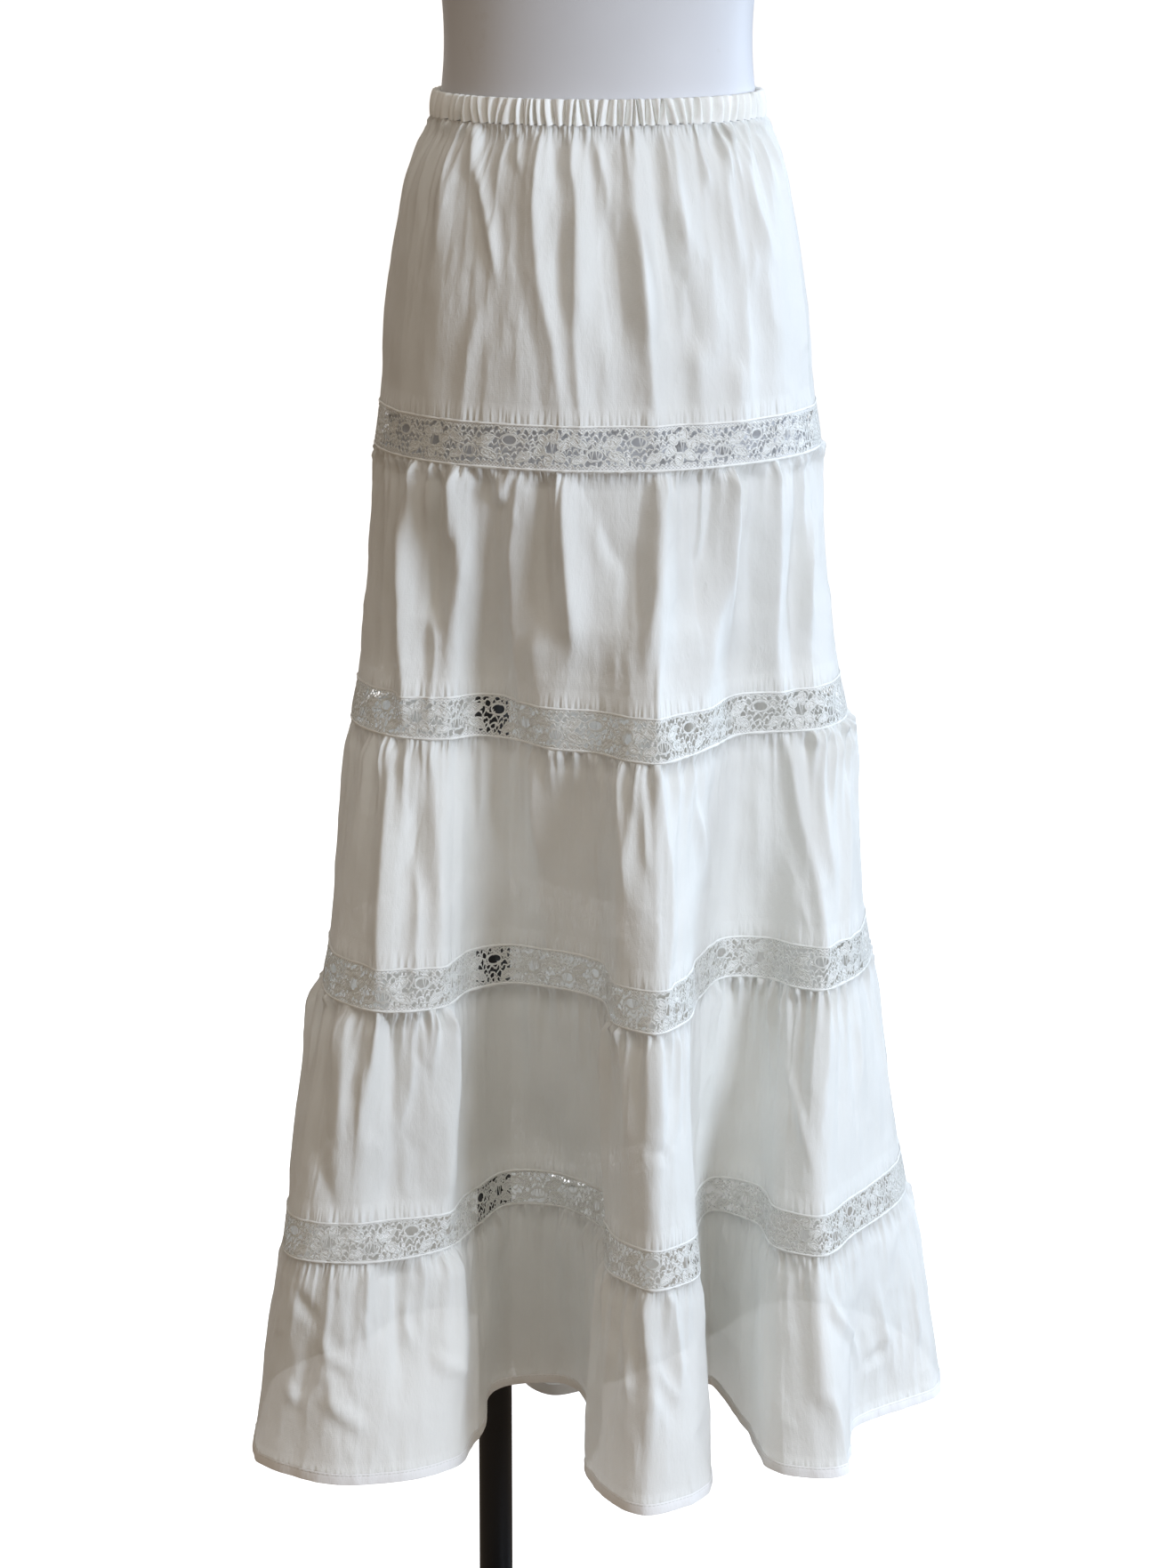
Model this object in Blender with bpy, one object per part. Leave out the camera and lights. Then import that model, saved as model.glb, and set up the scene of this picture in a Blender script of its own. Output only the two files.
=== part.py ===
"""A long tiered skirt with an A-line outline on a limbless dress form.

The skirt is an elastic waistband casing, five gathered tiers and four lace bands set between them.
It stands on a smooth form held by a round pole on a disc base.
Metres, +Z up, front of the skirt towards -Y, base on the ground plane.
"""

import math

import bmesh
import bpy
from mathutils import Vector
from mathutils.geometry import tessellate_polygon

MM = 0.001

# ---- driving dimensions --------------------------------------------------------------------------

WAIST_TOP = 1285 * MM  # top edge of the waistband above the floor
SEAM_GAP = 0.3 * MM  # clearance between two neighbouring pieces
CLOTH_WALL = 1.5 * MM
LACE_WALL = 1.2 * MM

WAISTBAND_DROP = 19 * MM
WAISTBAND_PLEATS = 72
WAISTBAND_PUFF = 1.7 * MM  # how far a pleat of the casing stands out past its valleys
WAISTBAND_FIT = 0.35 * MM  # clearance between the casing and the form
WAISTBAND_VALLEY = 0.6  # depth of a valley beside the height of a pleat
WAISTBAND_SPREAD = 0.3  # share by which its pleats differ from one another
# How far the elastic lets the casing puff out: share of the way down it, share of WAISTBAND_PUFF
WAISTBAND_ROWS = ((0.0, 0.45), (0.5, 1.0), (1.0, 0.35))

# Edge heights of the pieces, as drops below the top of the waistband
SEAM_DROPS = {
    "tier_1": (WAISTBAND_DROP, 232 * MM),
    "lace_1": (232 * MM, 264 * MM),
    "tier_2": (264 * MM, 441 * MM),
    "lace_2": (441 * MM, 471 * MM),
    "tier_3": (471 * MM, 630 * MM),
    "lace_3": (630 * MM, 660 * MM),
    "tier_4": (660 * MM, 819 * MM),
    "lace_4": (819 * MM, 847 * MM),
    "tier_5": (847 * MM, 1009 * MM),
}

# How each tier is gathered: pleats round the whole tier, columns of the mesh to a pleat, pleat height
# at the seam and a little below it, how far the cloth puffs out there, and at which drops below
# the seam the sections lie.
#          pleats  columns  at seam   below     puff      sections below the seam
GATHERS = {
    "tier_1": (72, 2, 1.3 * MM, 2.0 * MM, 0.0 * MM, (28 * MM, 98 * MM)),
    "tier_2": (32, 3, 1.0 * MM, 3.0 * MM, 3.5 * MM, (24 * MM,)),
    "tier_3": (32, 3, 1.0 * MM, 3.4 * MM, 4.5 * MM, (24 * MM,)),
    "tier_4": (32, 3, 1.1 * MM, 3.8 * MM, 4.5 * MM, (26 * MM,)),
    "tier_5": (32, 3, 1.2 * MM, 4.2 * MM, 5.0 * MM, (28 * MM,)),
}

PLEAT_WIDTHS = 0.22  # share by which the widths of a tier's pleats differ
PLEAT_HEIGHTS = 0.45  # share by which their heights differ
PLEATS_AT = 0.6  # share of the way down a tier where its columns are spaced evenly
PLEAT_FALL = 0.5  # share of a pleat's height that is lost from one section to the next

# The skirt over the hips is an ellipse: drop, half width, half depth
HIP_SECTIONS = (
    (0 * MM, 121.5 * MM, 88.5 * MM),
    (WAISTBAND_DROP, 124.0 * MM, 91.0 * MM),
    (50 * MM, 139.5 * MM, 104.0 * MM),
    (90 * MM, 150.0 * MM, 117.0 * MM),
    (150 * MM, 159.0 * MM, 129.0 * MM),
    (232 * MM, 165.5 * MM, 138.0 * MM),
)
HIP_DROP = HIP_SECTIONS[-1][0]
BEND_LENGTH = 30 * MM  # the extra length of curve that a radian of a bend counts for in a tier
BEND_SHARE = 0.3  # the largest share of a bend's radius that pleats may take up inside it

# Below the hips the cloth falls in lobes with recesses between them. One row for each line down a
# fold, from the left side seam across the front and round the back, in millimetres: its angle on
# the hip ellipse from the front centre, then where it stands (x, y) at lace 2, 3, 4 and the hem.
#    line                        angle     lace 2        lace 3        lace 4        hem
FOLD_LINES = (
    ("left side seam",             -90, (-184, -10), (-204, -60), (-231, -108), (-262, -100)),
    ("left lobe, outer",           -68, (-170, -64), (-190, -140), (-218, -192), (-252, -203)),
    ("left lobe, crest",           -50, (-142, -92), (-158, -174), (-178, -200), (-190, -240)),
    ("left lobe, inner",           -37, (-112, -99), (-118, -168), (-116, -170), (-110, -207)),
    ("left recess, mouth",         -27, (-88, -92), (-93, -120), (-91, -114), (-88, -138)),
    ("left recess, floor",         -17, (-65, -104), (-69, -107), (-67, -74), (-70, -34)),
    ("left recess, inner",          -8, (-34, -140), (-36, -120), (-31, -80), (-30, -26)),
    ("front lobe, left flank",       2, (0, -152), (-1, -148), (-1, -116), (-3, -116)),
    ("front lobe, left shoulder",   10, (24, -172), (19, -219), (17, -236), (4, -266)),
    ("front lobe, crest",           17, (43, -179), (41, -234), (42, -261), (34, -300)),
    ("front lobe, right shoulder",  24, (66, -157), (62, -205), (65, -243), (68, -279)),
    ("front lobe, right flank",     31, (87, -126), (77, -140), (71, -152), (77, -126)),
    ("right recess, floor",         40, (109, -90), (104, -84), (92, -88), (86, -30)),
    ("right recess, outer",         50, (130, -82), (130, -88), (118, -104), (113, -128)),
    ("right lobe, inner",           60, (148, -76), (151, -108), (139, -168), (142, -220)),
    ("right lobe, crest",           68, (164, -67), (167, -114), (162, -182), (172, -227)),
    ("right lobe, outer",           78, (178, -48), (186, -92), (192, -138), (201, -120)),
    ("right side seam",             90, (187, -8), (206, -22), (234, -34), (263, -54)),
    ("back right, side",           105, (180, 40), (200, 50), (228, 62), (262, 54)),
    ("back right lobe, outer",     120, (160, 80), (174, 108), (194, 146), (212, 174)),
    ("back right lobe, crest",     134, (130, 108), (138, 150), (144, 192), (148, 226)),
    ("back recess, right flank",   147, (98, 116), (100, 136), (96, 150), (88, 168)),
    ("back recess, right floor",   160, (60, 122), (54, 118), (30, 106), (8, 98)),
    ("back recess, left floor",    173, (24, 136), (16, 126), (-12, 98), (-36, 82)),
    ("back recess, left flank",    186, (-14, 154), (-20, 160), (-42, 136), (-62, 122)),
    ("back left lobe, inner",      198, (-50, 160), (-56, 192), (-68, 204), (-76, 200)),
    ("back left lobe, crest",      210, (-84, 146), (-94, 190), (-106, 222), (-112, 244)),
    ("back left lobe, outer",      224, (-118, 112), (-134, 140), (-150, 168), (-158, 196)),
    ("left rear hollow",           240, (-149, 70), (-164, 76), (-180, 86), (-192, 100)),
    ("left rear lobe",             255, (-169, 34), (-189, 22), (-214, 12), (-244, 20)),
)
FOLD_DROPS = [SEAM_DROPS[name][0] for name in ("lace_2", "lace_3", "lace_4")] + [SEAM_DROPS["tier_5"][1]]
RIGHT_SEAM = [line[0] for line in FOLD_LINES].index("right side seam")

BACK_HANG = 52 * MM  # how much lower the hem hangs at the middle of the back than at the front

LACE_REPEAT = 94 * MM  # one repeat of the lace's flowers along the band
# The widest gaps of one repeat: centre along it, centre up the band from its middle, half length,
# half height, and the number of corners.
#               along     up        length    height    corners
LACE_GAPS = (
    (0.14, 0.5 * MM, 5.2 * MM, 4.4 * MM, 6),
    (0.47, -4.5 * MM, 5.0 * MM, 3.2 * MM, 4),
    (0.80, 4.8 * MM, 5.0 * MM, 3.2 * MM, 4),
)
LACE_CELL = 0.17  # share of a repeat that the wall round one gap takes

# The dress form, from the flat underside to the neck: height above the top of the waistband,
# half width, half depth, and how far its middle stands forward.
FORM_SECTIONS = (
    (-430 * MM, 96 * MM, 66 * MM, 0 * MM),
    (-425 * MM, 112 * MM, 80 * MM, 0 * MM),
    (-400 * MM, 132 * MM, 97 * MM, 0 * MM),
    (-340 * MM, 149 * MM, 115 * MM, 0 * MM),
    (-250 * MM, 158 * MM, 127 * MM, 0 * MM),
    (-160 * MM, 152 * MM, 121 * MM, 0 * MM),
    (-80 * MM, 136 * MM, 103.5 * MM, 0 * MM),
    (-22 * MM, 119.0 * MM, 87 * MM, 0 * MM),
    (0 * MM, 116.5 * MM, 84.5 * MM, 0 * MM),
    (25 * MM, 114.5 * MM, 83.5 * MM, 0 * MM),
    (75 * MM, 116.5 * MM, 86 * MM, 2 * MM),
    (140 * MM, 131 * MM, 101 * MM, 6 * MM),
    (205 * MM, 148 * MM, 116 * MM, 10 * MM),
    (265 * MM, 163 * MM, 104 * MM, 6 * MM),
    (315 * MM, 167 * MM, 82 * MM, 0 * MM),
    (348 * MM, 143 * MM, 69 * MM, -4 * MM),
    (370 * MM, 96 * MM, 62 * MM, -6 * MM),
    (388 * MM, 63 * MM, 57 * MM, -8 * MM),
    (420 * MM, 54 * MM, 54 * MM, -8 * MM),
    (450 * MM, 52 * MM, 52 * MM, -6 * MM),
)
FORM_SIDES = 36
CAP_RADIUS = 46 * MM
CAP_HEIGHT = 9 * MM
CAP_BEVEL = 2 * MM

POLE_RADIUS = 13.35 * MM
POLE_PLACE = (-82 * MM, 46 * MM)  # the pole stands to the left of the middle and behind it
SOCKET_RADIUS = 24 * MM
SOCKET_HEIGHT = 12 * MM
BASE_RADIUS = 170 * MM
BASE_HEIGHT = 8 * MM
BASE_BEVEL = 3 * MM
FOOT_COLLAR_RADIUS = 21 * MM
FOOT_COLLAR_HEIGHT = 26 * MM
COLLAR_BEVEL = 2 * MM
ROUND_SIDES = 28

# Steps along the plan curve, in fold lines: for a tangent, for a bend, and at a side seam
TANGENT_STEP = 0.02
BEND_STEP = 0.25
SEAM_STEP = 0.01
FINE_STEPS = 24  # steps to a fold line where the length of the plan curve is measured
LEAST_TURN = 0.01  # radians; a straighter stretch of the curve has this bend
SEAM_SPARE = 0.05 * MM  # added to half the clearance on each side of a side seam
JOIN_DISTANCE = 0.01 * MM  # points closer than this are made one

# ---- scene and materials -------------------------------------------------------------------------


def clear_scene():
    for item in list(bpy.data.objects):
        bpy.data.objects.remove(item, do_unlink=True)


def make_collection(name):
    made = bpy.data.collections.new(name)
    bpy.context.scene.collection.children.link(made)
    return made


def material(name, colour, roughness, metallic=0.0):
    made = bpy.data.materials.get(name) or bpy.data.materials.new(name)
    made.use_nodes = True
    shader = made.node_tree.nodes["Principled BSDF"]
    shader.inputs["Base Color"].default_value = (*colour, 1.0)
    shader.inputs["Roughness"].default_value = roughness
    shader.inputs["Metallic"].default_value = metallic
    made.diffuse_color = (*colour, 1.0)
    return made


def finish(mesh, name, collection, look, smooth=True):
    """Closes a bmesh into a named object with its material."""
    bmesh.ops.recalc_face_normals(mesh, faces=mesh.faces)
    data = bpy.data.meshes.new(name)
    mesh.to_mesh(data)
    mesh.free()
    data.materials.append(look)
    for polygon in data.polygons:
        polygon.use_smooth = smooth
    made = bpy.data.objects.new(name, data)
    collection.objects.link(made)
    return made


# ---- where the cloth hangs -----------------------------------------------------------------------


def between(rows, at):
    """The values of a table at a height between two of its rows."""
    if at <= rows[0][0]:
        return rows[0][1:]
    for low, high in zip(rows, rows[1:]):
        if at <= high[0]:
            share = (at - low[0]) / (high[0] - low[0])
            return tuple(a + (b - a) * share for a, b in zip(low[1:], high[1:]))
    return rows[-1][1:]


def line_place(line, drop):
    """Where one fold line stands in plan at a drop below the waist."""
    angle = math.radians(line[1])
    half_width, half_depth = between(HIP_SECTIONS, drop)
    hip = (half_width * math.sin(angle), -half_depth * math.cos(angle))
    rows = [(HIP_DROP, *hip)]
    rows += [(at, x * MM, y * MM) for at, (x, y) in zip(FOLD_DROPS, line[2:])]
    return Vector(between(rows, drop))


def hermite(a, b, slope_a, slope_b, share):
    square, cube = share * share, share * share * share
    return (
        a * (2 * cube - 3 * square + 1)
        + slope_a * (cube - 2 * square + share)
        + b * (3 * square - 2 * cube)
        + slope_b * (cube - square)
    )


class Plan:
    """The closed plan curve of the cloth at one height, through all its fold lines."""

    def __init__(self, drop):
        self.places = [line_place(line, drop) for line in FOLD_LINES]
        count = len(self.places)
        spans = [(self.places[(i + 1) % count] - self.places[i]).length for i in range(count)]
        self.slopes = []
        for i in range(count):
            before, after = spans[i - 1], spans[i]
            into = (self.places[i] - self.places[i - 1]) / before
            out = (self.places[(i + 1) % count] - self.places[i]) / after
            self.slopes.append((into * after + out * before) / (before + after))
        self.spans = spans

    def at(self, line):
        """The plan point at a fold line number, which may lie between two lines."""
        count = len(self.places)
        first = math.floor(line) % count
        second = (first + 1) % count
        span = self.spans[first]
        return hermite(
            self.places[first], self.places[second],
            self.slopes[first] * span, self.slopes[second] * span, line - math.floor(line),
        )

    def outward(self, line):
        along = (self.at(line + TANGENT_STEP) - self.at(line - TANGENT_STEP)).normalized()
        return Vector((along.y, -along.x))

    def room(self, line, out):
        """The offset out, held back where the curve bends too tightly for it."""
        before, after = line - BEND_STEP, line + BEND_STEP
        turning = self.outward(before).angle_signed(self.outward(after))
        bend_radius = (self.at(after) - self.at(before)).length / max(abs(turning), LEAST_TURN)
        limit = BEND_SHARE * bend_radius
        concave = turning > 0.0
        return min(out, limit) if concave else max(out, -limit)


def even_lines(drop, start, end, cells, bend=0.0):
    """Fold line numbers that divide the plan curve between two of them into cells.

    cells holds the length of each cell, to any scale. bend is the length that a full radian of
    turning adds to the curve, so that its tight bends get more of the cells.
    """
    plan = Plan(drop)
    fine = FINE_STEPS * (end - start)
    numbers = [start + (end - start) * i / fine for i in range(fine + 1)]
    lengths = [0.0]
    for a, b in zip(numbers, numbers[1:]):
        turning = plan.outward(a).angle(plan.outward(b))
        lengths.append(lengths[-1] + (plan.at(b) - plan.at(a)).length + bend * turning)
    found, place, whole = [], 0, sum(cells)
    reached = 0.0
    for cell in [0.0, *cells]:
        reached += cell
        target = min(reached / whole, 1.0) * lengths[-1]
        while place < fine - 1 and lengths[place + 1] < target:
            place += 1
        share = (target - lengths[place]) / (lengths[place + 1] - lengths[place])
        found.append(numbers[place] + (numbers[place + 1] - numbers[place]) * min(share, 1.0))
    return found, lengths[-1]


def uneven(number, seed):
    """A repeatable share from -1 to 1, so that pleats differ from one another."""
    value = math.sin(12.9898 * number + 78.233 * seed) * 43758.5453
    return 2.0 * (value - math.floor(value)) - 1.0


def back_hang(line, drop):
    """How much lower the cloth lies at a fold line of the back than on the front."""
    start, end = HALVES["back"]
    share = min(max((line - start) / (end - start), 0.0), 1.0)
    fall = max(drop - HIP_DROP, 0.0) / (FOLD_DROPS[-1] - HIP_DROP)
    return BACK_HANG * fall * math.sin(math.pi * share) ** 2


HALVES = {"front": (0, RIGHT_SEAM), "back": (RIGHT_SEAM, len(FOLD_LINES))}

# ---- cloth pieces --------------------------------------------------------------------------------


def split_cell(mesh, high, low, column, after):
    """Two triangles across one cell of a grid, on the same diagonal on both sides of a wall."""
    mesh.faces.new((high[column], low[column], low[after]))
    mesh.faces.new((high[column], low[after], high[after]))


def wall_between(outer, inner, closed):
    """A closed bmesh between two grids of points, given as rows of columns from the top down."""
    mesh = bmesh.new()
    outside = [[mesh.verts.new(point) for point in row] for row in outer]
    inside = [[mesh.verts.new(point) for point in row] for row in inner]
    columns = len(outside[0])
    for column in range(columns if closed else columns - 1):
        after = (column + 1) % columns
        for side in (outside, inside):
            for high, low in zip(side, side[1:]):
                split_cell(mesh, high, low, column, after)
        mesh.faces.new((inside[0][column], outside[0][column], outside[0][after], inside[0][after]))
        mesh.faces.new((outside[-1][column], inside[-1][column], inside[-1][after], outside[-1][after]))
    if not closed:
        left = [row[0] for row in outside] + [row[0] for row in reversed(inside)]
        right = [row[-1] for row in outside] + [row[-1] for row in reversed(inside)]
        mesh.faces.new(reversed(left))
        mesh.faces.new(right)
    return mesh


def cloth_point(plan, line, out, drop):
    place = plan.at(line) + plan.outward(line) * out
    return Vector((place.x, place.y, WAIST_TOP - drop - back_hang(line, drop)))


def inset_ends(plan, lines):
    """The same lines with the two at the ends drawn in by half a seam gap."""
    drawn = list(lines)
    for end, inward in ((0, 1), (-1, -1)):
        step = SEAM_STEP * inward
        length = (plan.at(lines[end] + step) - plan.at(lines[end])).length
        drawn[end] = lines[end] + step * (SEAM_GAP / 2 + SEAM_SPARE) / length
    return drawn


def tier(name, half, collection, look):
    """One half of a gathered tier, from side seam to side seam."""
    top, bottom = SEAM_DROPS[name]
    pleats, to_pleat, at_seam, below, puff, sections = GATHERS[name]
    start, end = HALVES[half]
    count = pleats // 2 * to_pleat
    seed = list(GATHERS).index(name) + (0.5 if half == "back" else 0.0)
    cells = [1.0 + PLEAT_WIDTHS * uneven(i // to_pleat, seed) for i in range(count)]
    middle = top + PLEATS_AT * (bottom - top)
    lines, _ = even_lines(middle, start, end, cells, BEND_LENGTH)
    waves = []
    for i in range(count + 1):
        wave = math.cos(math.tau * i / to_pleat)
        waves.append(wave * (1.0 + PLEAT_HEIGHTS * uneven(i // to_pleat, seed + len(GATHERS))))
    drops = [top + SEAM_GAP / 2, *(top + at for at in sections), bottom - SEAM_GAP / 2]
    heights = [at_seam, *(below * (1.0 - PLEAT_FALL * i) for i in range(len(sections))), 0.0]
    puffs = [0.0, *(puff for _ in sections), 0.0]
    outer, inner = [], []
    for drop, height, swell in zip(drops, heights, puffs):
        plan = Plan(drop)
        drawn = inset_ends(plan, lines)
        out = [plan.room(u, height * wave + swell) for u, wave in zip(drawn, waves)]
        out[0] = out[-1] = swell
        outer.append([cloth_point(plan, u, o + CLOTH_WALL / 2, drop) for u, o in zip(drawn, out)])
        inner.append([cloth_point(plan, u, o - CLOTH_WALL / 2, drop) for u, o in zip(drawn, out)])
    return finish(wall_between(outer, inner, closed=False), f"{name}_{half}", collection, look)


def waistband(collection, look):
    """The casing: smooth inside against the form, pleated outside by the elastic."""
    columns = WAISTBAND_PLEATS * 2
    form = [row[:3] for row in FORM_SECTIONS]
    outer, inner = [], []
    for share, swell in WAISTBAND_ROWS:
        drop = share * (WAISTBAND_DROP - SEAM_GAP / 2)
        half_width, half_depth = between(form, -drop)
        full_width, full_depth = between(HIP_SECTIONS, drop)
        inside, outside = [], []
        for i in range(columns):
            angle = math.tau * i / columns
            across = Vector((math.sin(angle), -math.cos(angle)))
            wave = (1.0 if i % 2 else -WAISTBAND_VALLEY) * (1.0 + WAISTBAND_SPREAD * uneven(i // 2, 9.0))
            pleat = WAISTBAND_PUFF * swell * wave
            x, y = (full_width + pleat) * across.x, (full_depth + pleat) * across.y
            outside.append(Vector((x, y, WAIST_TOP - drop)))
            x, y = (half_width + WAISTBAND_FIT) * across.x, (half_depth + WAISTBAND_FIT) * across.y
            inside.append(Vector((x, y, WAIST_TOP - drop)))
        outer.append(outside)
        inner.append(inside)
    return finish(wall_between(outer, [inner[0], inner[-1]], closed=True), "waistband", collection, look)


def gap_corners(gap):
    """The corners of one lace gap about its centre, as (along, up)."""
    half_length, half_height, corners = gap[2:]
    turns = [math.tau * i / corners for i in range(corners)]
    return [(half_length * math.cos(turn), half_height * math.sin(turn)) for turn in turns]


def lace(name, half, collection, look):
    """One half of a lace band, with the widest gaps of each repeat cut through."""
    top, bottom = SEAM_DROPS[name]
    high, low = top + SEAM_GAP / 2, bottom - SEAM_GAP / 2
    start, end = HALVES[half]
    length = even_lines((top + bottom) / 2, start, end, [1.0])[1]
    repeats = max(round(length / LACE_REPEAT), 1)
    cells, gaps, reached = [], [], 0.0
    for repeat in range(repeats):
        for gap in LACE_GAPS:
            cells += [repeat + gap[0] - LACE_CELL / 2 - reached, LACE_CELL]
            gaps += [None, gap]
            reached += sum(cells[-2:])
    cells.append(repeats - reached)
    gaps.append(None)
    lines = even_lines((top + bottom) / 2, start, end, cells)[0]
    plans = {drop: Plan(drop) for drop in (high, low)}
    drawn = {drop: inset_ends(plan, lines) for drop, plan in plans.items()}

    def point(column, across, down, out):
        """A point of the wall: share of the way across a cell, and down the band."""
        ends = []
        for drop in (high, low):
            a, b = (cloth_point(plans[drop], drawn[drop][i], out, drop) for i in (column, column + 1))
            ends.append(a.lerp(b, across))
        return ends[0].lerp(ends[1], down)

    mesh = bmesh.new()
    sides = (LACE_WALL / 2, -LACE_WALL / 2)
    last = len(cells) - 1
    edges = {
        out: [
            [mesh.verts.new(point(min(i, last), float(i > last), down, out)) for i in range(last + 2)]
            for down in (0.0, 1.0)
        ]
        for out in sides
    }
    for column, (cell, gap) in enumerate(zip(cells, gaps)):
        rims = []
        for out in sides:
            upper, lower = edges[out]
            frame = [upper[column], lower[column], lower[column + 1], upper[column + 1]]
            if gap is None:
                mesh.faces.new(frame)
                continue
            wide, tall = cell / sum(cells) * length, low - high
            flat = [(0.0, 0.0), (0.0, 1.0), (1.0, 1.0), (1.0, 0.0)]
            rim = [(0.5 + x / wide, 0.5 - (gap[1] + y) / tall) for x, y in gap_corners(gap)]
            corners = frame + [mesh.verts.new(point(column, *at, out)) for at in rim]
            outline = [[Vector((x, y, 0.0)) for x, y in loop] for loop in (flat, rim)]
            for triangle in tessellate_polygon(outline):
                mesh.faces.new([corners[i] for i in triangle])
            rims.append(corners[4:])
        for i in range(len(rims[0]) if rims else 0):
            after = (i + 1) % len(rims[0])
            mesh.faces.new((rims[0][i], rims[0][after], rims[1][after], rims[1][i]))
        for outer, inner in zip(edges[sides[0]], edges[sides[1]]):
            mesh.faces.new((outer[column], outer[column + 1], inner[column + 1], inner[column]))
    for column in (0, last + 1):
        mesh.faces.new([edges[out][edge][column] for out, edge in zip((*sides, *sides[::-1]), (0, 0, 1, 1))])
    return finish(mesh, f"{name}_{half}", collection, look)


# ---- dress form and stand ------------------------------------------------------------------------


def dress_form(collection, look):
    """The torso, lofted through its elliptical sections and closed flat at both ends."""
    mesh = bmesh.new()
    rings = []
    for height, half_width, half_depth, forward in FORM_SECTIONS:
        ring = []
        for i in range(FORM_SIDES):
            angle = math.tau * i / FORM_SIDES
            x, y = half_width * math.sin(angle), -half_depth * math.cos(angle) - forward
            ring.append(mesh.verts.new((x, y, WAIST_TOP + height)))
        rings.append(ring)
    for lower, upper in zip(rings, rings[1:]):
        for i in range(FORM_SIDES):
            after = (i + 1) % FORM_SIDES
            mesh.faces.new((lower[i], lower[after], upper[after], upper[i]))
    mesh.faces.new(rings[0])
    mesh.faces.new(rings[-1])
    return finish(mesh, "dress_form", collection, look)


def turned(name, place, profile, collection, look):
    """A solid of revolution: the profile, as (radius, height), spun about an upright axis."""
    mesh = bmesh.new()
    points = [mesh.verts.new((radius, 0.0, height)) for radius, height in profile]
    edges = [mesh.edges.new(pair) for pair in zip(points, points[1:])]
    bmesh.ops.spin(
        mesh, geom=points + edges, axis=(0, 0, 1), cent=(0, 0, 0), angle=math.tau,
        steps=ROUND_SIDES, use_duplicate=False,
    )
    bmesh.ops.remove_doubles(mesh, verts=mesh.verts, dist=JOIN_DISTANCE)
    made = finish(mesh, name, collection, look)
    made.location = (place[0], place[1], 0.0)
    return made


def cylinder_profile(radius, low, high, bevel=0.0):
    """A cylinder's profile from the middle of its top to the middle of its underside."""
    rim = [(radius - bevel, high), (radius, high - bevel)] if bevel else [(radius, high)]
    return [(0.0, high), *rim, (radius, low), (0.0, low)]


def stand(collection, metal, plain):
    """Base, foot collar, pole, the socket under the form, and the plate on its neck."""
    underside = WAIST_TOP + FORM_SECTIONS[0][0]
    neck = WAIST_TOP + FORM_SECTIONS[-1][0]
    collar_top = BASE_HEIGHT + FOOT_COLLAR_HEIGHT
    socket_low = underside - SEAM_GAP - SOCKET_HEIGHT
    turned("base_disc", (0.0, 0.0), cylinder_profile(BASE_RADIUS, 0.0, BASE_HEIGHT, BASE_BEVEL),
           collection, metal)
    turned("foot_collar", POLE_PLACE,
           cylinder_profile(FOOT_COLLAR_RADIUS, BASE_HEIGHT + SEAM_GAP, collar_top, COLLAR_BEVEL),
           collection, metal)
    turned("pole", POLE_PLACE,
           cylinder_profile(POLE_RADIUS, collar_top + SEAM_GAP, socket_low - SEAM_GAP), collection, metal)
    turned("pole_socket", POLE_PLACE, cylinder_profile(SOCKET_RADIUS, socket_low, underside - SEAM_GAP),
           collection, metal)
    turned("neck_plate", (0.0, -FORM_SECTIONS[-1][3]),
           cylinder_profile(CAP_RADIUS, neck + SEAM_GAP, neck + SEAM_GAP + CAP_HEIGHT, CAP_BEVEL),
           collection, plain)


def main():
    clear_scene()
    collection = make_collection("tiered_skirt_on_form")
    cotton = material("white_cotton", (0.86, 0.86, 0.85), 0.75)
    openwork = material("white_lace", (0.82, 0.82, 0.81), 0.8)
    plaster = material("form_surface", (0.72, 0.72, 0.74), 0.6)
    metal = material("black_metal", (0.02, 0.02, 0.022), 0.45, 0.6)
    waistband(collection, cotton)
    for half in HALVES:
        for name in SEAM_DROPS:
            if name in GATHERS:
                tier(name, half, collection, cotton)
            else:
                lace(name, half, collection, openwork)
    dress_form(collection, plaster)
    stand(collection, metal, plaster)


main()
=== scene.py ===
"""A white tiered skirt with lace bands on a dress form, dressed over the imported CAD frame.

The cloth is laid over the same fold lines as the solids: a plan curve at each height, gathers and
soft folds that stand off it, and lace, seams and stitches placed on that surface by the distance
along it and the drop below the waist. Metres, +Z up, front towards -Y.
"""

import math

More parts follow.
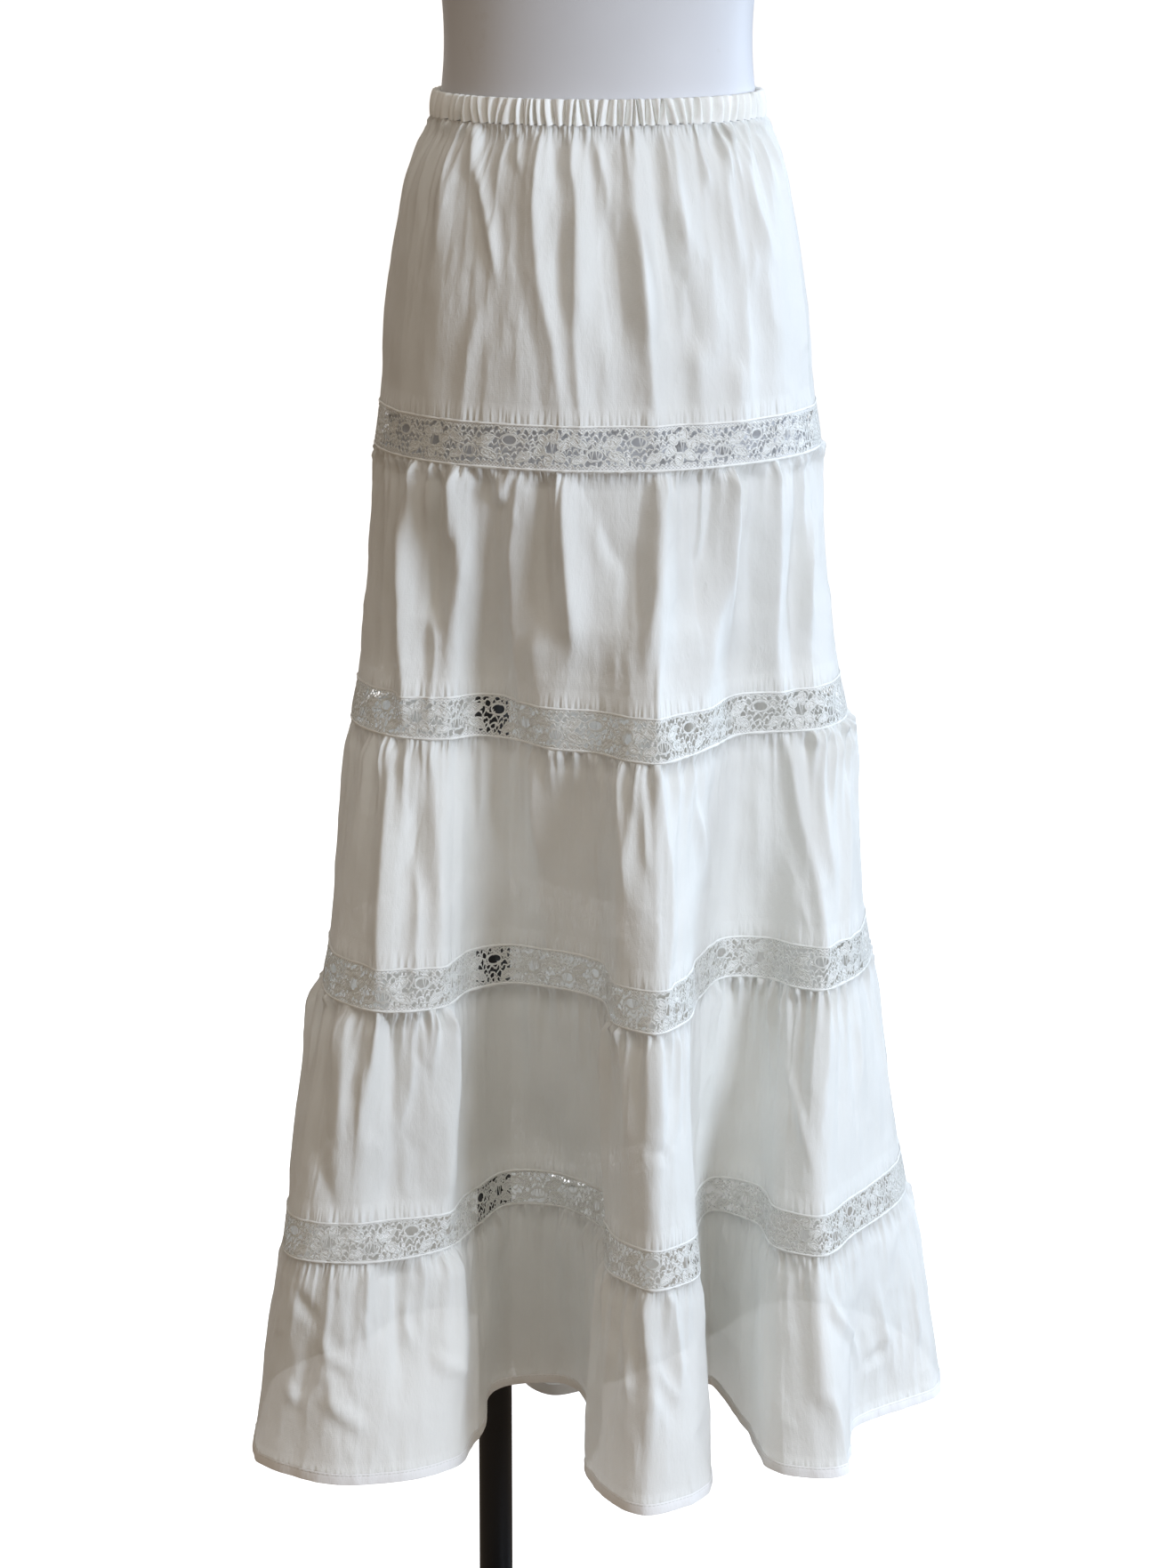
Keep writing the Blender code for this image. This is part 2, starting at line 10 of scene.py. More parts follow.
import bmesh
import bpy
import numpy as np
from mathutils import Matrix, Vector


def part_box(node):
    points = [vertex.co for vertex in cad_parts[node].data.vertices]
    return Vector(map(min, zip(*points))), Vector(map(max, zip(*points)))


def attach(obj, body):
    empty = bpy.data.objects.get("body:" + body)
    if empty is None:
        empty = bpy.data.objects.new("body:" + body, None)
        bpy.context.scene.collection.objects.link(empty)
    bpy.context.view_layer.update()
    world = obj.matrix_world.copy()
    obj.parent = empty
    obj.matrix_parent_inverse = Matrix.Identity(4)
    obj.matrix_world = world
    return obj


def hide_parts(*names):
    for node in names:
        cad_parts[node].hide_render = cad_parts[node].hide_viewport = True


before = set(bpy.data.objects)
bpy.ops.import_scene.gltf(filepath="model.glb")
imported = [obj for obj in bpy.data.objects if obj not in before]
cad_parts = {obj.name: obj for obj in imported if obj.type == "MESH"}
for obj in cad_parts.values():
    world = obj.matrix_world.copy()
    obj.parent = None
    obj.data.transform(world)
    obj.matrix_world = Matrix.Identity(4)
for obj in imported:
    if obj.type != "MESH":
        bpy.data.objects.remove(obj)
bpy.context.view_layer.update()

bl_info = {
    "name": "Tiered lace skirt on a form",
    "version": (1, 0, 0),
    "blender": (4, 5, 0),
    "location": "View3D > Sidebar > Skirt",
    "description": "Builds a gathered, tiered skirt with lace bands on a dress form",
    "category": "Object",
}

MM = 0.001


def metres(*rows):
    """Rows in millimetres as rows in metres."""
    return [tuple(value * MM for value in row) for row in rows]


# ---- the cut and the hang, the same as in the solids

WAIST_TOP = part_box("waistband")[1][2]

# From the waistband to the hem each piece is sewn to the next one: the pieces, and the drop of each
# seam below the top of the waistband, in millimetres, with the hem last
PIECES = ("tier_1", "lace_1", "tier_2", "lace_2", "tier_3", "lace_3", "tier_4", "lace_4", "tier_5")
SEAMS = (19, 232, 264, 441, 471, 630, 660, 819, 847, 1009)
SEAM_DROPS = {name: (top * MM, bottom * MM) for name, top, bottom in zip(PIECES, SEAMS, SEAMS[1:])}
TIERS, LACES = PIECES[::2], PIECES[1::2]

# The skirt over the hips is an ellipse: drop, half width, half depth, in millimetres
HIP_SECTIONS = metres(
    (0, 121.5, 88.5), (19, 124.0, 91.0), (50, 139.5, 104.0), (90, 150.0, 117.0), (150, 159.0, 129.0),
    (232, 165.5, 138.0),
)
HIP_DROP = HIP_SECTIONS[-1][0]

# One row for each line down a fold, from the left side seam across the front and round the back, in
# millimetres: its angle on the hip ellipse, then where it stands (x, y) at lace 2, 3, 4 and the hem.
#    line                        angle     lace 2        lace 3        lace 4        hem
FOLD_LINES = (
    ("left side seam",             -90, (-184, -10), (-204, -60), (-231, -108), (-262, -100)),
    ("left lobe, outer",           -68, (-170, -64), (-190, -140), (-218, -192), (-252, -203)),
    ("left lobe, crest",           -50, (-142, -92), (-158, -174), (-178, -200), (-190, -240)),
    ("left lobe, inner",           -37, (-112, -99), (-118, -168), (-116, -170), (-110, -207)),
    ("left recess, mouth",         -27, (-88, -92), (-93, -120), (-91, -114), (-88, -138)),
    ("left recess, floor",         -17, (-65, -104), (-69, -107), (-67, -74), (-70, -34)),
    ("left recess, inner",          -8, (-34, -140), (-36, -120), (-31, -80), (-30, -26)),
    ("front lobe, left flank",       2, (0, -152), (-1, -148), (-1, -116), (-3, -116)),
    ("front lobe, left shoulder",   10, (24, -172), (19, -219), (17, -236), (4, -266)),
    ("front lobe, crest",           17, (43, -179), (41, -234), (42, -261), (34, -300)),
    ("front lobe, right shoulder",  24, (66, -157), (62, -205), (65, -243), (68, -279)),
    ("front lobe, right flank",     31, (87, -126), (77, -140), (71, -152), (77, -126)),
    ("right recess, floor",         40, (109, -90), (104, -84), (92, -88), (86, -30)),
    ("right recess, outer",         50, (130, -82), (130, -88), (118, -104), (113, -128)),
    ("right lobe, inner",           60, (148, -76), (151, -108), (139, -168), (142, -220)),
    ("right lobe, crest",           68, (164, -67), (167, -114), (162, -182), (172, -227)),
    ("right lobe, outer",           78, (178, -48), (186, -92), (192, -138), (201, -120)),
    ("right side seam",             90, (187, -8), (206, -22), (234, -34), (263, -54)),
    ("back right, side",           105, (180, 40), (200, 50), (228, 62), (262, 54)),
    ("back right lobe, outer",     120, (160, 80), (174, 108), (194, 146), (212, 174)),
    ("back right lobe, crest",     134, (130, 108), (138, 150), (144, 192), (148, 226)),
    ("back recess, right flank",   147, (98, 116), (100, 136), (96, 150), (88, 168)),
    ("back recess, right floor",   160, (60, 122), (54, 118), (30, 106), (8, 98)),
    ("back recess, left floor",    173, (24, 136), (16, 126), (-12, 98), (-36, 82)),
    ("back recess, left flank",    186, (-14, 154), (-20, 160), (-42, 136), (-62, 122)),
    ("back left lobe, inner",      198, (-50, 160), (-56, 192), (-68, 204), (-76, 200)),
    ("back left lobe, crest",      210, (-84, 146), (-94, 190), (-106, 222), (-112, 244)),
    ("back left lobe, outer",      224, (-118, 112), (-134, 140), (-150, 168), (-158, 196)),
    ("left rear hollow",           240, (-149, 70), (-164, 76), (-180, 86), (-192, 100)),
    ("left rear lobe",             255, (-169, 34), (-189, 22), (-214, 12), (-244, 20)),
)
FOLD_DROPS = [SEAM_DROPS[name][0] for name in LACES[1:]] + [SEAM_DROPS["tier_5"][1]]
SIDE_SEAMS = (0, [line[0] for line in FOLD_LINES].index("right side seam"))
BACK_HANG = 52 * MM  # how much lower the hem hangs at the middle of the back

# The dress form: height above the top of the waistband, half width, half depth, how far it is set
# forward, in millimetres
FORM_SECTIONS = metres(
    (-430, 96, 66, 0), (-425, 112, 80, 0), (-400, 132, 97, 0), (-340, 149, 115, 0), (-250, 158, 127, 0),
    (-160, 152, 121, 0), (-80, 136, 103.5, 0), (-22, 119.0, 87, 0), (0, 116.5, 84.5, 0), (25, 114.5, 83.5, 0),
    (75, 116.5, 86, 2), (140, 131, 101, 6), (205, 148, 116, 10), (265, 163, 104, 6), (315, 167, 82, 0),
    (348, 143, 69, -4), (370, 96, 62, -6), (388, 63, 57, -8), (420, 54, 54, -8), (450, 52, 52, -6),
)

# ---- how the cloth is gathered and folded

# Ridges run down from the gathered seam in sizes that grow as they go down, in millimetres: distance
# between them, height, the depth below the seam where they stand highest, how far below that they fade
GATHER_SIZES = metres(
    (6.0, 2.40, 4, 10), (9.5, 2.40, 9, 24), (16, 2.80, 18, 42), (29, 2.20, 40, 95), (52, 2.20, 90, 220),
)
# No two are alike: ranges of the distance, height, width and fade, as shares of the sizes above
GATHER_APART, GATHER_TALL, GATHER_WIDE, GATHER_FADE = (0.55, 1.5), (0.25, 1.5), (0.28, 0.42), (0.5, 1.4)
GATHER_LEAN = 0.05  # how far they lean, as a usual slope
GATHER_SKEW = 0.45  # how much steeper one side may be
GATHER_WIDEN = 0.5  # how much wider they are at the tier's lower edge
GATHER_BUNCHED = 0.75, 85 * MM  # the gathers are stronger and weaker round the skirt, about this far apart
GATHER_CREST, CREASE_CREST = 0.20, 0.35  # how round the crest of a fold is, as a share of its width
RIDGE_FALL = 1.3  # how fast a ridge falls off beside its crest
# The shallow trough beside a ridge: depth as a share of its height, place and width in its widths
TROUGH_DEPTH, TROUGH_PLACE, TROUGH_WIDTH = 0.22, 2.3, 1.1
GATHER_REACH, CREASE_REACH = 3.2, 4.5  # widths to each side within which a ridge is worked out

# How strongly each tier is gathered and crumpled, how far it puffs out below its seam, how much of its
# folds is left at its lower edge, and the rows of its grid
#             strength crumples puff      left  rows
TIER_LOOKS = {
    "tier_1": (1.25, 1.0, 0.5 * MM, 0.60, 44),
    "tier_2": (1.45, 1.0, 2.0 * MM, 0.70, 38),
    "tier_3": (1.60, 1.0, 2.4 * MM, 0.75, 38),
    "tier_4": (1.45, 1.0, 2.4 * MM, 0.60, 38),
    "tier_5": (1.05, 1.2, 3.0 * MM, 0.80, 38),
}
ON_THE_FORM = ("tier_1", "tier_2")  # the troughs of these tiers lie on the form
FORM_GAP, FORM_GIVE = 1.5 * MM, 0.1  # space left there, and the share of a trough that still goes deeper
CRESTS_ON_OUTLINE = 85  # per cent of the cloth that lies inside the fold lines' curve, between the crests
COLUMN_WIDTH = 1.35 * MM  # of the cloth's grid
ROW_CROWDING = 1.35  # its rows lie closer at the gathered seam, by this power
# How far below the seam each of these has grown to its full height
CRUMPLE_START, CREASE_START, PUFF_START = 10 * MM, 14 * MM, 20 * MM
PUFF_END = 0.45  # share of the way down where the puff begins to go
SEAM_HOLD = 14 * MM  # above its lower seam, half of the height over which a tier is drawn flatter
BEND_ROOM = 0.45  # of a bend's radius, the most that cloth moves into it
GATHER_SEED, CRUMPLE_SEED, BUNCH_SEED = 11, 31, 7  # what the random numbers of the tiers start from

# Crumples of washed cloth: size across and down, height, and how sharp they are, from 0 to 1
CRUMPLES = (
    (12 * MM, 26 * MM, 0.45 * MM, 1.0),
    (24 * MM, 48 * MM, 1.0 * MM, 0.8),
    (38 * MM, 90 * MM, 1.6 * MM, 0.4),
)

# Creases placed one by one: width in millimetres, how much wider it ends than it starts, height in
# millimetres, negative for a trough, and its path as pairs of fold line and per cent of the way down.
CREASES = {
    "tier_1": (
        (7, 1.3, 3, 1.55, 2, 1.85, 18, 1.9, 33, 2.05, 52),
        (7, 0.4, 4.6, 2.25, 0, 2.6, 12, 3, 23, 3.6, 42, 4, 58), (4, 0.6, 3.2, 3.9, 0, 4, 8, 4.4, 18),
        (7, 0.9, 5, 4.7, 0, 4.8, 17, 4.85, 28, 5.05, 47, 5.35, 62, 5.6, 73, 5.85, 88),
        (5.5, 1, 4.6, 5.8, 0, 5.95, 12, 6.15, 23, 6.15, 40, 6.15, 58, 6.2, 75, 6.35, 90),
        (5, 0.8, 3.4, 6.45, 0, 6.75, 8, 7, 18, 7.1, 32),
        (10, 1, 7.5, 8.25, 0, 8.05, 17, 8.1, 35, 8.25, 52, 8.4, 70, 8.65, 88),
        (8.8, 0.9, 6.3, 10.25, 0, 9.95, 17, 10, 28, 10.15, 40, 10.4, 55),
        (5.6, 0.7, 4.8, 11.45, 0, 11.4, 12, 11.5, 25),
        (7.5, 1, 5.7, 12.75, 2, 12.15, 18, 12.1, 37, 12.15, 57),
        (6.2, 1, 4.8, 13.95, 2, 13.1, 18, 13.25, 37, 13.65, 52),
        (4.5, 1.3, 2.2, 3.45, 57, 3.05, 78, 2.9, 93), (3.2, 1, -1.8, 9.9, 60, 8.9, 68, 8.4, 77),
        (4, 1, -1.6, 9.6, 47, 10.1, 55, 10.55, 77), (8.8, 1.2, 4.5, 10.3, 70, 10.5, 88),
        (7.5, 1.2, 4.2, 11.9, 78, 11.75, 93), (8, 1.2, -5.5, 9.2, 22, 9.2, 40, 9.35, 58, 9.4, 77),
        (6, 1.2, 5, 8.25, 25, 8.3, 40, 8.35, 58, 8.45, 77), (6, 1.2, 3.5, 6.25, 23, 6.3, 47, 6.3, 70),
        (10, 1.2, 4, 11.3, 30, 11.1, 53, 11, 83), (9, 1.1, -6, 7, 23, 7.2, 47, 7.4, 63, 7.5, 82),
        (16, 1.2, 5, 13.15, 28, 12.65, 48, 12.3, 68, 12.1, 93),
        (9, 1.2, -2.6, 10.3, 55, 10.05, 73, 9.85, 92),
    ),
    "tier_2": (
        (7.5, 1.4, 9.7, 1.85, 5, 1.75, 32, 1.85, 62, 1.95, 93), (5, 1, 5.3, 2.6, 3, 2.85, 18, 2.8, 42),
        (9.4, 1.7, 10.6, 2.9, 3, 3.1, 30, 3.15, 53, 3, 73, 2.9, 88),
        (4.4, 1, 4.4, 2.35, 62, 2.65, 77, 2.6, 93), (5, 0.8, 6.6, 4.2, 2, 4.25, 18),
        (9.4, 1.1, 8.4, 4.65, 7, 4.65, 35, 4.85, 58, 5.1, 80, 5.25, 93),
        (8.1, 1.1, 11, 5.95, 3, 6, 18, 6.15, 40, 6.35, 63, 6.5, 83),
        (5.6, 0.8, -4, 6.7, 7, 7.05, 25, 7.55, 45),
        (11.2, 1, 9.7, 8.8, 3, 8.85, 25, 8.85, 47, 8.7, 68, 8.6, 85),
        (3.8, 0.7, 5, 10.5, 3, 10.6, 23, 10.55, 42),
        (8.1, 2, 8.6, 11.5, 5, 11.55, 28, 11.25, 50, 10.85, 72, 10.65, 87),
        (9.4, 1.2, 7.6, 13.15, 5, 13.25, 32, 13.15, 55, 13.1, 77, 13.35, 95),
        (6.2, 1, 6.5, 15.15, 12, 15.15, 32, 14.85, 50, 14.8, 68, 15.1, 85),
        (8.8, 1.3, 5.7, 5.5, 65, 5.7, 88), (12, 1.1, -6.5, 7.65, 10, 7.85, 32, 8.1, 57, 8.15, 83),
        (8, 1.1, -4.5, 2.3, 15, 2.45, 45, 2.6, 77), (9, 1.1, 7, 1.6, 12, 1.7, 40, 1.85, 70, 2, 95),
        (9, 1.1, -3.6, 5.2, 12, 5.45, 42, 5.75, 72), (10, 1.1, -6, 10.35, 7, 10.5, 42, 10.45, 78),
        (7, 1.1, 4.5, 11.4, 8, 11.4, 43, 11.55, 82), (8, 1.1, -3.6, 12.25, 15, 12.3, 45, 12.45, 85),
        (7, 1.1, -2.8, 13.95, 18, 13.95, 48, 14.1, 87),
    ),
    "tier_3": (
        (6, 1.3, 6, 1.75, 8, 1.85, 38, 1.85, 58, 1.85, 80, 1.9, 97),
        (8, 1.2, 6, 2.7, 7, 2.8, 27, 2.9, 50, 3, 77, 3.05, 97), (5.5, 0.8, 4.5, 4.1, 8, 4.15, 27, 4.1, 47),
        (7, 0.9, 3.4, 5.6, 10, 5.75, 35, 5.95, 65), (5, 1.2, 3.2, 7.75, 10, 7.9, 30, 8.05, 48, 8.3, 72),
        (4, 1, 2.4, 8.45, 8, 8.65, 32, 8.85, 55),
        (6, 1.2, 4.6, 9, 5, 9.25, 25, 9.4, 48, 9.45, 75, 9.35, 95),
        (5, 1, 3.4, 10.25, 2, 10.4, 22, 10.85, 50, 10.85, 75), (4, 0.8, 2.4, 11.5, 8, 11.35, 28, 11.6, 52),
        (5.5, 0.9, 4.4, 13.55, 7, 14, 33, 14.45, 52, 14.8, 67, 15.2, 92),
        (5, 1, 3.8, 15.15, 8, 15.15, 33, 15.35, 57, 15.9, 85), (5, 1, 3.2, 16.2, 17, 16.2, 53, 16.1, 90),
        (3.5, 1, 2.8, 2.35, 50, 2.55, 68, 2.55, 88), (9, 1.1, -4, 2.35, 20, 2.45, 50, 2.6, 80),
        (9, 1.1, 3, 3.45, 20, 3.6, 53, 3.65, 90), (9, 1.1, -3, 10.95, 13, 11.3, 45, 11.7, 78),
        (9, 1.1, 3, 12.4, 15, 12.55, 47, 12.7, 80),
    ),
    "tier_4": (
        (8, 1.2, 2.4, 5.8, 12, 5.8, 43, 5.75, 77), (5, 1.1, 3, 8.1, 5, 8.15, 30, 8.2, 55),
        (5, 1.2, 3.6, 9, 7, 9.15, 30, 9.2, 57), (5, 1, 3.2, 9.8, 7, 9.9, 32, 9.65, 55),
        (3.5, 1, -1.8, 8.6, 52, 9.1, 55, 9.7, 62), (8, 1.1, 4.4, 15.15, 8, 15.25, 30, 15.15, 50, 15.1, 70),
        (3.6, 1, 2.8, 13.65, 28, 14, 45, 14.6, 65, 15.05, 85), (6, 1, 2.8, 16.2, 13, 16.25, 38, 16.15, 62),
        (10, 1.2, 6.5, 1.3, 7, 1.4, 28, 1.5, 52, 1.55, 80),
        (13, 1.2, -9, 2.15, 2, 2.35, 30, 2.4, 57, 2.35, 90), (13, 1.1, 9, 3.15, 3, 3.2, 35, 3.1, 60, 3, 95),
        (5, 1.2, -2.4, 0.9, 65, 1.25, 78, 1.65, 93), (5, 1, 2.6, 2.65, 18, 2.55, 40, 2.4, 65),
        (4, 1, 2, 1.8, 18, 1.85, 43, 1.9, 68),
    ),
    "tier_5": (
        (6, 1.1, 3.4, 1.6, 5, 1.65, 20, 1.65, 37, 1.8, 57, 1.95, 72),
        (5, 1, 3.9, 2.15, 5, 2.15, 25, 2.2, 45), (4, 1, -3.3, 1, 15, 1.3, 22, 1.6, 30),
        (4, 1, 3.3, 1.55, 33, 1.8, 43, 2.1, 50), (4.5, 1, 3.9, 1.7, 57, 1.95, 68, 2.3, 77),
        (4, 1, 3.3, 1.1, 57, 1.3, 63, 1.55, 70), (4.5, 1, -3.6, 1.5, 42, 1.4, 58, 1.35, 75),
        (4.5, 1, 3, 2.6, 15, 2.55, 30, 2.65, 47), (3.5, 1, 2.4, 2.75, 45, 2.95, 52, 3.35, 58),
        (6, 1.1, 4.2, 8.7, 7, 8.85, 20, 9, 38, 9.1, 58, 9, 78), (5, 1, 3.9, 9.5, 7, 9.7, 30, 9.8, 53),
        (4, 1, 3, 9.1, 32, 9.45, 43, 9.9, 55), (5, 1, 3.3, 8.2, 12, 8.4, 33, 8.6, 57),
        (5.5, 1.2, 4, 15, 7, 15, 27, 15, 55, 14.85, 78),
        (4.5, 1, 3.9, 15.1, 12, 15.35, 30, 15.85, 53, 16.1, 75),
        (5.5, 1, 3, 16.3, 30, 16.35, 53, 16.45, 80), (4.5, 1, 3.3, 15, 58, 15.15, 72, 15.25, 87),
        (4, 1, -2.7, 16, 70, 16.3, 67, 16.5, 67), (5, 1, 3.6, 16.8, 32, 16.8, 53, 16.8, 75),
        (8, 1.1, 4, 1.9, 3, 1.9, 28, 1.85, 52), (13, 1.1, -8, 2.45, 3, 2.5, 33, 2.5, 73),
        (13, 1.1, 8, 3.1, 10, 3.1, 40, 3, 78),
    ),
}
# The back has the same creases, the other way about: line there = this - line on the front
BACK_CREASES = 34.6
FRONT_CREASES = 4.7  # creases before this line are on the left side, and have no pair at the back
# A crease that starts above the first share of the tier, or ends below the second, runs into the seam
CREASE_STARTS, CREASE_ENDS = 0.12, 0.85
CREASE_FADE_IN, CREASE_FADE_OUT = 0.3, 0.6  # between these shares of its length any other is at its full
CREASE_STEPS = 5  # places worked out for each one given in its path

# ---- small helpers


def linear(code):
    """A #rrggbb colour as linear RGB."""
    def one(value):
        return value / 12.92 if value <= 0.04045 else ((value + 0.055) / 1.055) ** 2.4
    return tuple(one(int(code[i : i + 2], 16) / 255) for i in (1, 3, 5))


WHITE = (1.0, 1.0, 1.0)


def smoothstep(low, high, value):
    """0 up to low, 1 from high on, and an even swing between them."""
    share = np.clip((value - low) / (high - low), 0.0, 1.0)
    return share * share * (3.0 - 2.0 * share)


def hermite(a, b, slope_a, slope_b, share):
    """A point of the curve from a to b, which sets off and arrives with these slopes."""
    square, cube = share**2, share**3
    return (
        a * (2 * cube - 3 * square + 1) + slope_a * (cube - 2 * square + share)
        + b * (3 * square - 2 * cube) + slope_b * (cube - square)
    )


def through(rows, at):
    """A smooth curve through the rows of a table, (place, values...), read at several places."""
    table = np.array(rows, float)
    places, values = table[:, 0], table[:, 1:]
    slopes = np.gradient(values, places, axis=0)
    at = np.clip(np.atleast_1d(at), places[0], places[-1])
    first = np.clip(np.searchsorted(places, at, side="right") - 1, 0, len(places) - 2)
    span = (places[first + 1] - places[first])[:, None]
    share = ((at - places[first])[:, None]) / span
    return hermite(values[first], values[first + 1], slopes[first] * span, slopes[first + 1] * span, share)


def unit(vectors):
    """The same directions, each with length 1."""
    return vectors / np.maximum(np.linalg.norm(vectors, axis=-1, keepdims=True), 1e-9)


def between(values, places):
    """Values that stand at whole numbers round a ring, along the last axis, read between them."""
    count = values.shape[-1]
    first = np.floor(places).astype(int)
    share = smoothstep(0.0, 1.0, places - first)
    return values[..., first % count] * (1.0 - share) + values[..., (first + 1) % count] * share


def wander(across, length, apart, seed):
    """A smooth uneven curve from -1 to 1 along a closed edge, with places about that far apart."""
    count = max(int(length / apart), 4)
    values = np.random.default_rng(seed).uniform(-1.0, 1.0, count)
    return between(values, np.asarray(across) / length * count)


def quads(number):
    """The four corners of each cell in a grid of point numbers."""
    return np.stack([number[:-1, :-1], number[1:, :-1], number[1:, 1:], number[:-1, 1:]], axis=-1)


def strip_quads(number):
    """The same for a strip, whose grid runs along it and then across."""
    return quads(number.T).swapaxes(0, 1).reshape(-1, 4)


def grid_mesh(name, points, across=None, **maps):
    """A band through a grid of points, rows down and columns right round.

    For UVs in metres, across gives distances round it, one more than the columns, and each of maps the
    distance down at each row.
    """
    rows, columns = points.shape[:2]
    number = np.arange(rows * columns).reshape(rows, columns)
    faces = quads(np.concatenate([number, number[:, :1]], axis=1)).reshape(-1, 4)
    row, column = np.divmod(faces, columns)
    # a face that closes the ring runs on past the last column, not back to the first
    closes = (np.ptp(column, axis=1) > columns // 2)[:, None]
    column = np.where(closes & (column == 0), columns, column)
    uvs = {key: np.stack([across[column], -down[row]], axis=-1) for key, down in maps.items()}
    return face_mesh(name, points.reshape(-1, 3), faces, uvs)


def face_mesh(name, points, faces, uvs=()):
    """A smooth mesh object from points and quads; uvs gives each map's (u, v) at the faces' corners."""
    data = bpy.data.meshes.new(name)
    data.vertices.add(len(points))
    data.vertices.foreach_set("co", np.ascontiguousarray(points, np.float32).ravel())
    data.loops.add(faces.size)
    data.loops.foreach_set("vertex_index", faces.ravel().astype(np.int32))
    data.polygons.add(len(faces))
    data.polygons.foreach_set("loop_start", np.arange(len(faces), dtype=np.int32) * 4)
    data.polygons.foreach_set("use_smooth", np.ones(len(faces), bool))
    for map_name, corners in dict(uvs).items():
        layer = data.uv_layers.new(name=map_name)
        layer.data.foreach_set("uv", np.ascontiguousarray(corners, np.float32).ravel())
    data.update()
    data.validate()
    made = bpy.data.objects.new(name, data)
    bpy.context.scene.collection.objects.link(made)
    return made


def full_turn(steps):
    """Angles once round, without the last one, which is the first again."""
    return np.linspace(0.0, math.tau, steps, endpoint=False)


def round_rows(rows, turn):
    """Rings about an upright axis: (half width, half depth, how far forward, height) of each one."""
    return np.array([
        np.stack([width * np.sin(turn), -depth * np.cos(turn) - forward, np.full(len(turn), height)], axis=-1)
        for width, depth, forward, height in rows
    ])


def dress(piece, finish, slot, *nodes):
    """Gives a piece its finish and its body, and hides the solids that it stands for; slot is not used."""
    piece.data.materials.append(surface(finish))
    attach(piece, "root")
    if nodes:
        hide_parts(*nodes)
    return piece


# ---- the hanging cloth


def fold_table():
    """Rows of (drop, x and y of every fold line), from the waist to the hem."""
    angle = np.radians([line[1] for line in FOLD_LINES])
    rows = []
    for drop, half_width, half_depth in HIP_SECTIONS:
        places = np.stack([half_width * np.sin(angle), -half_depth * np.cos(angle)], axis=-1)
        rows.append((drop, *places.ravel()))
    for drop, *lines in zip(FOLD_DROPS, *(metres(*line[2:]) for line in FOLD_LINES)):
        rows.append((drop, *np.array(lines).ravel()))
    return rows


FOLD_TABLE = fold_table()


def plan_curve(drop, lines):
    """The plan points of the cloth at one drop, for many fold line numbers."""
    places = through(FOLD_TABLE, drop)[0].reshape(-1, 2)
    after = np.roll(places, -1, axis=0)
    spans = np.linalg.norm(after - places, axis=1)[:, None]
    out = (after - places) / spans
    into, before = np.roll(out, 1, axis=0), np.roll(spans, 1, axis=0)
    slopes = (into * spans + out * before) / (spans + before)
    lines = np.asarray(lines) % len(places)
    first = np.floor(lines).astype(int)
    second = (first + 1) % len(places)
    return hermite(places[first], places[second], slopes[first] * spans[first],
                   slopes[second] * spans[first], (lines - first)[:, None])


def back_hang(lines, drop):
    """How much lower the cloth lies at the back than on the front."""
    start, end = SIDE_SEAMS[1], len(FOLD_LINES)
    share = np.clip((np.asarray(lines) % end - start) / (end - start), 0.0, 1.0)
    fall = max(drop - HIP_DROP, 0.0) / (FOLD_DROPS[-1] - HIP_DROP)
    return BACK_HANG * fall * np.sin(math.pi * share) ** 2


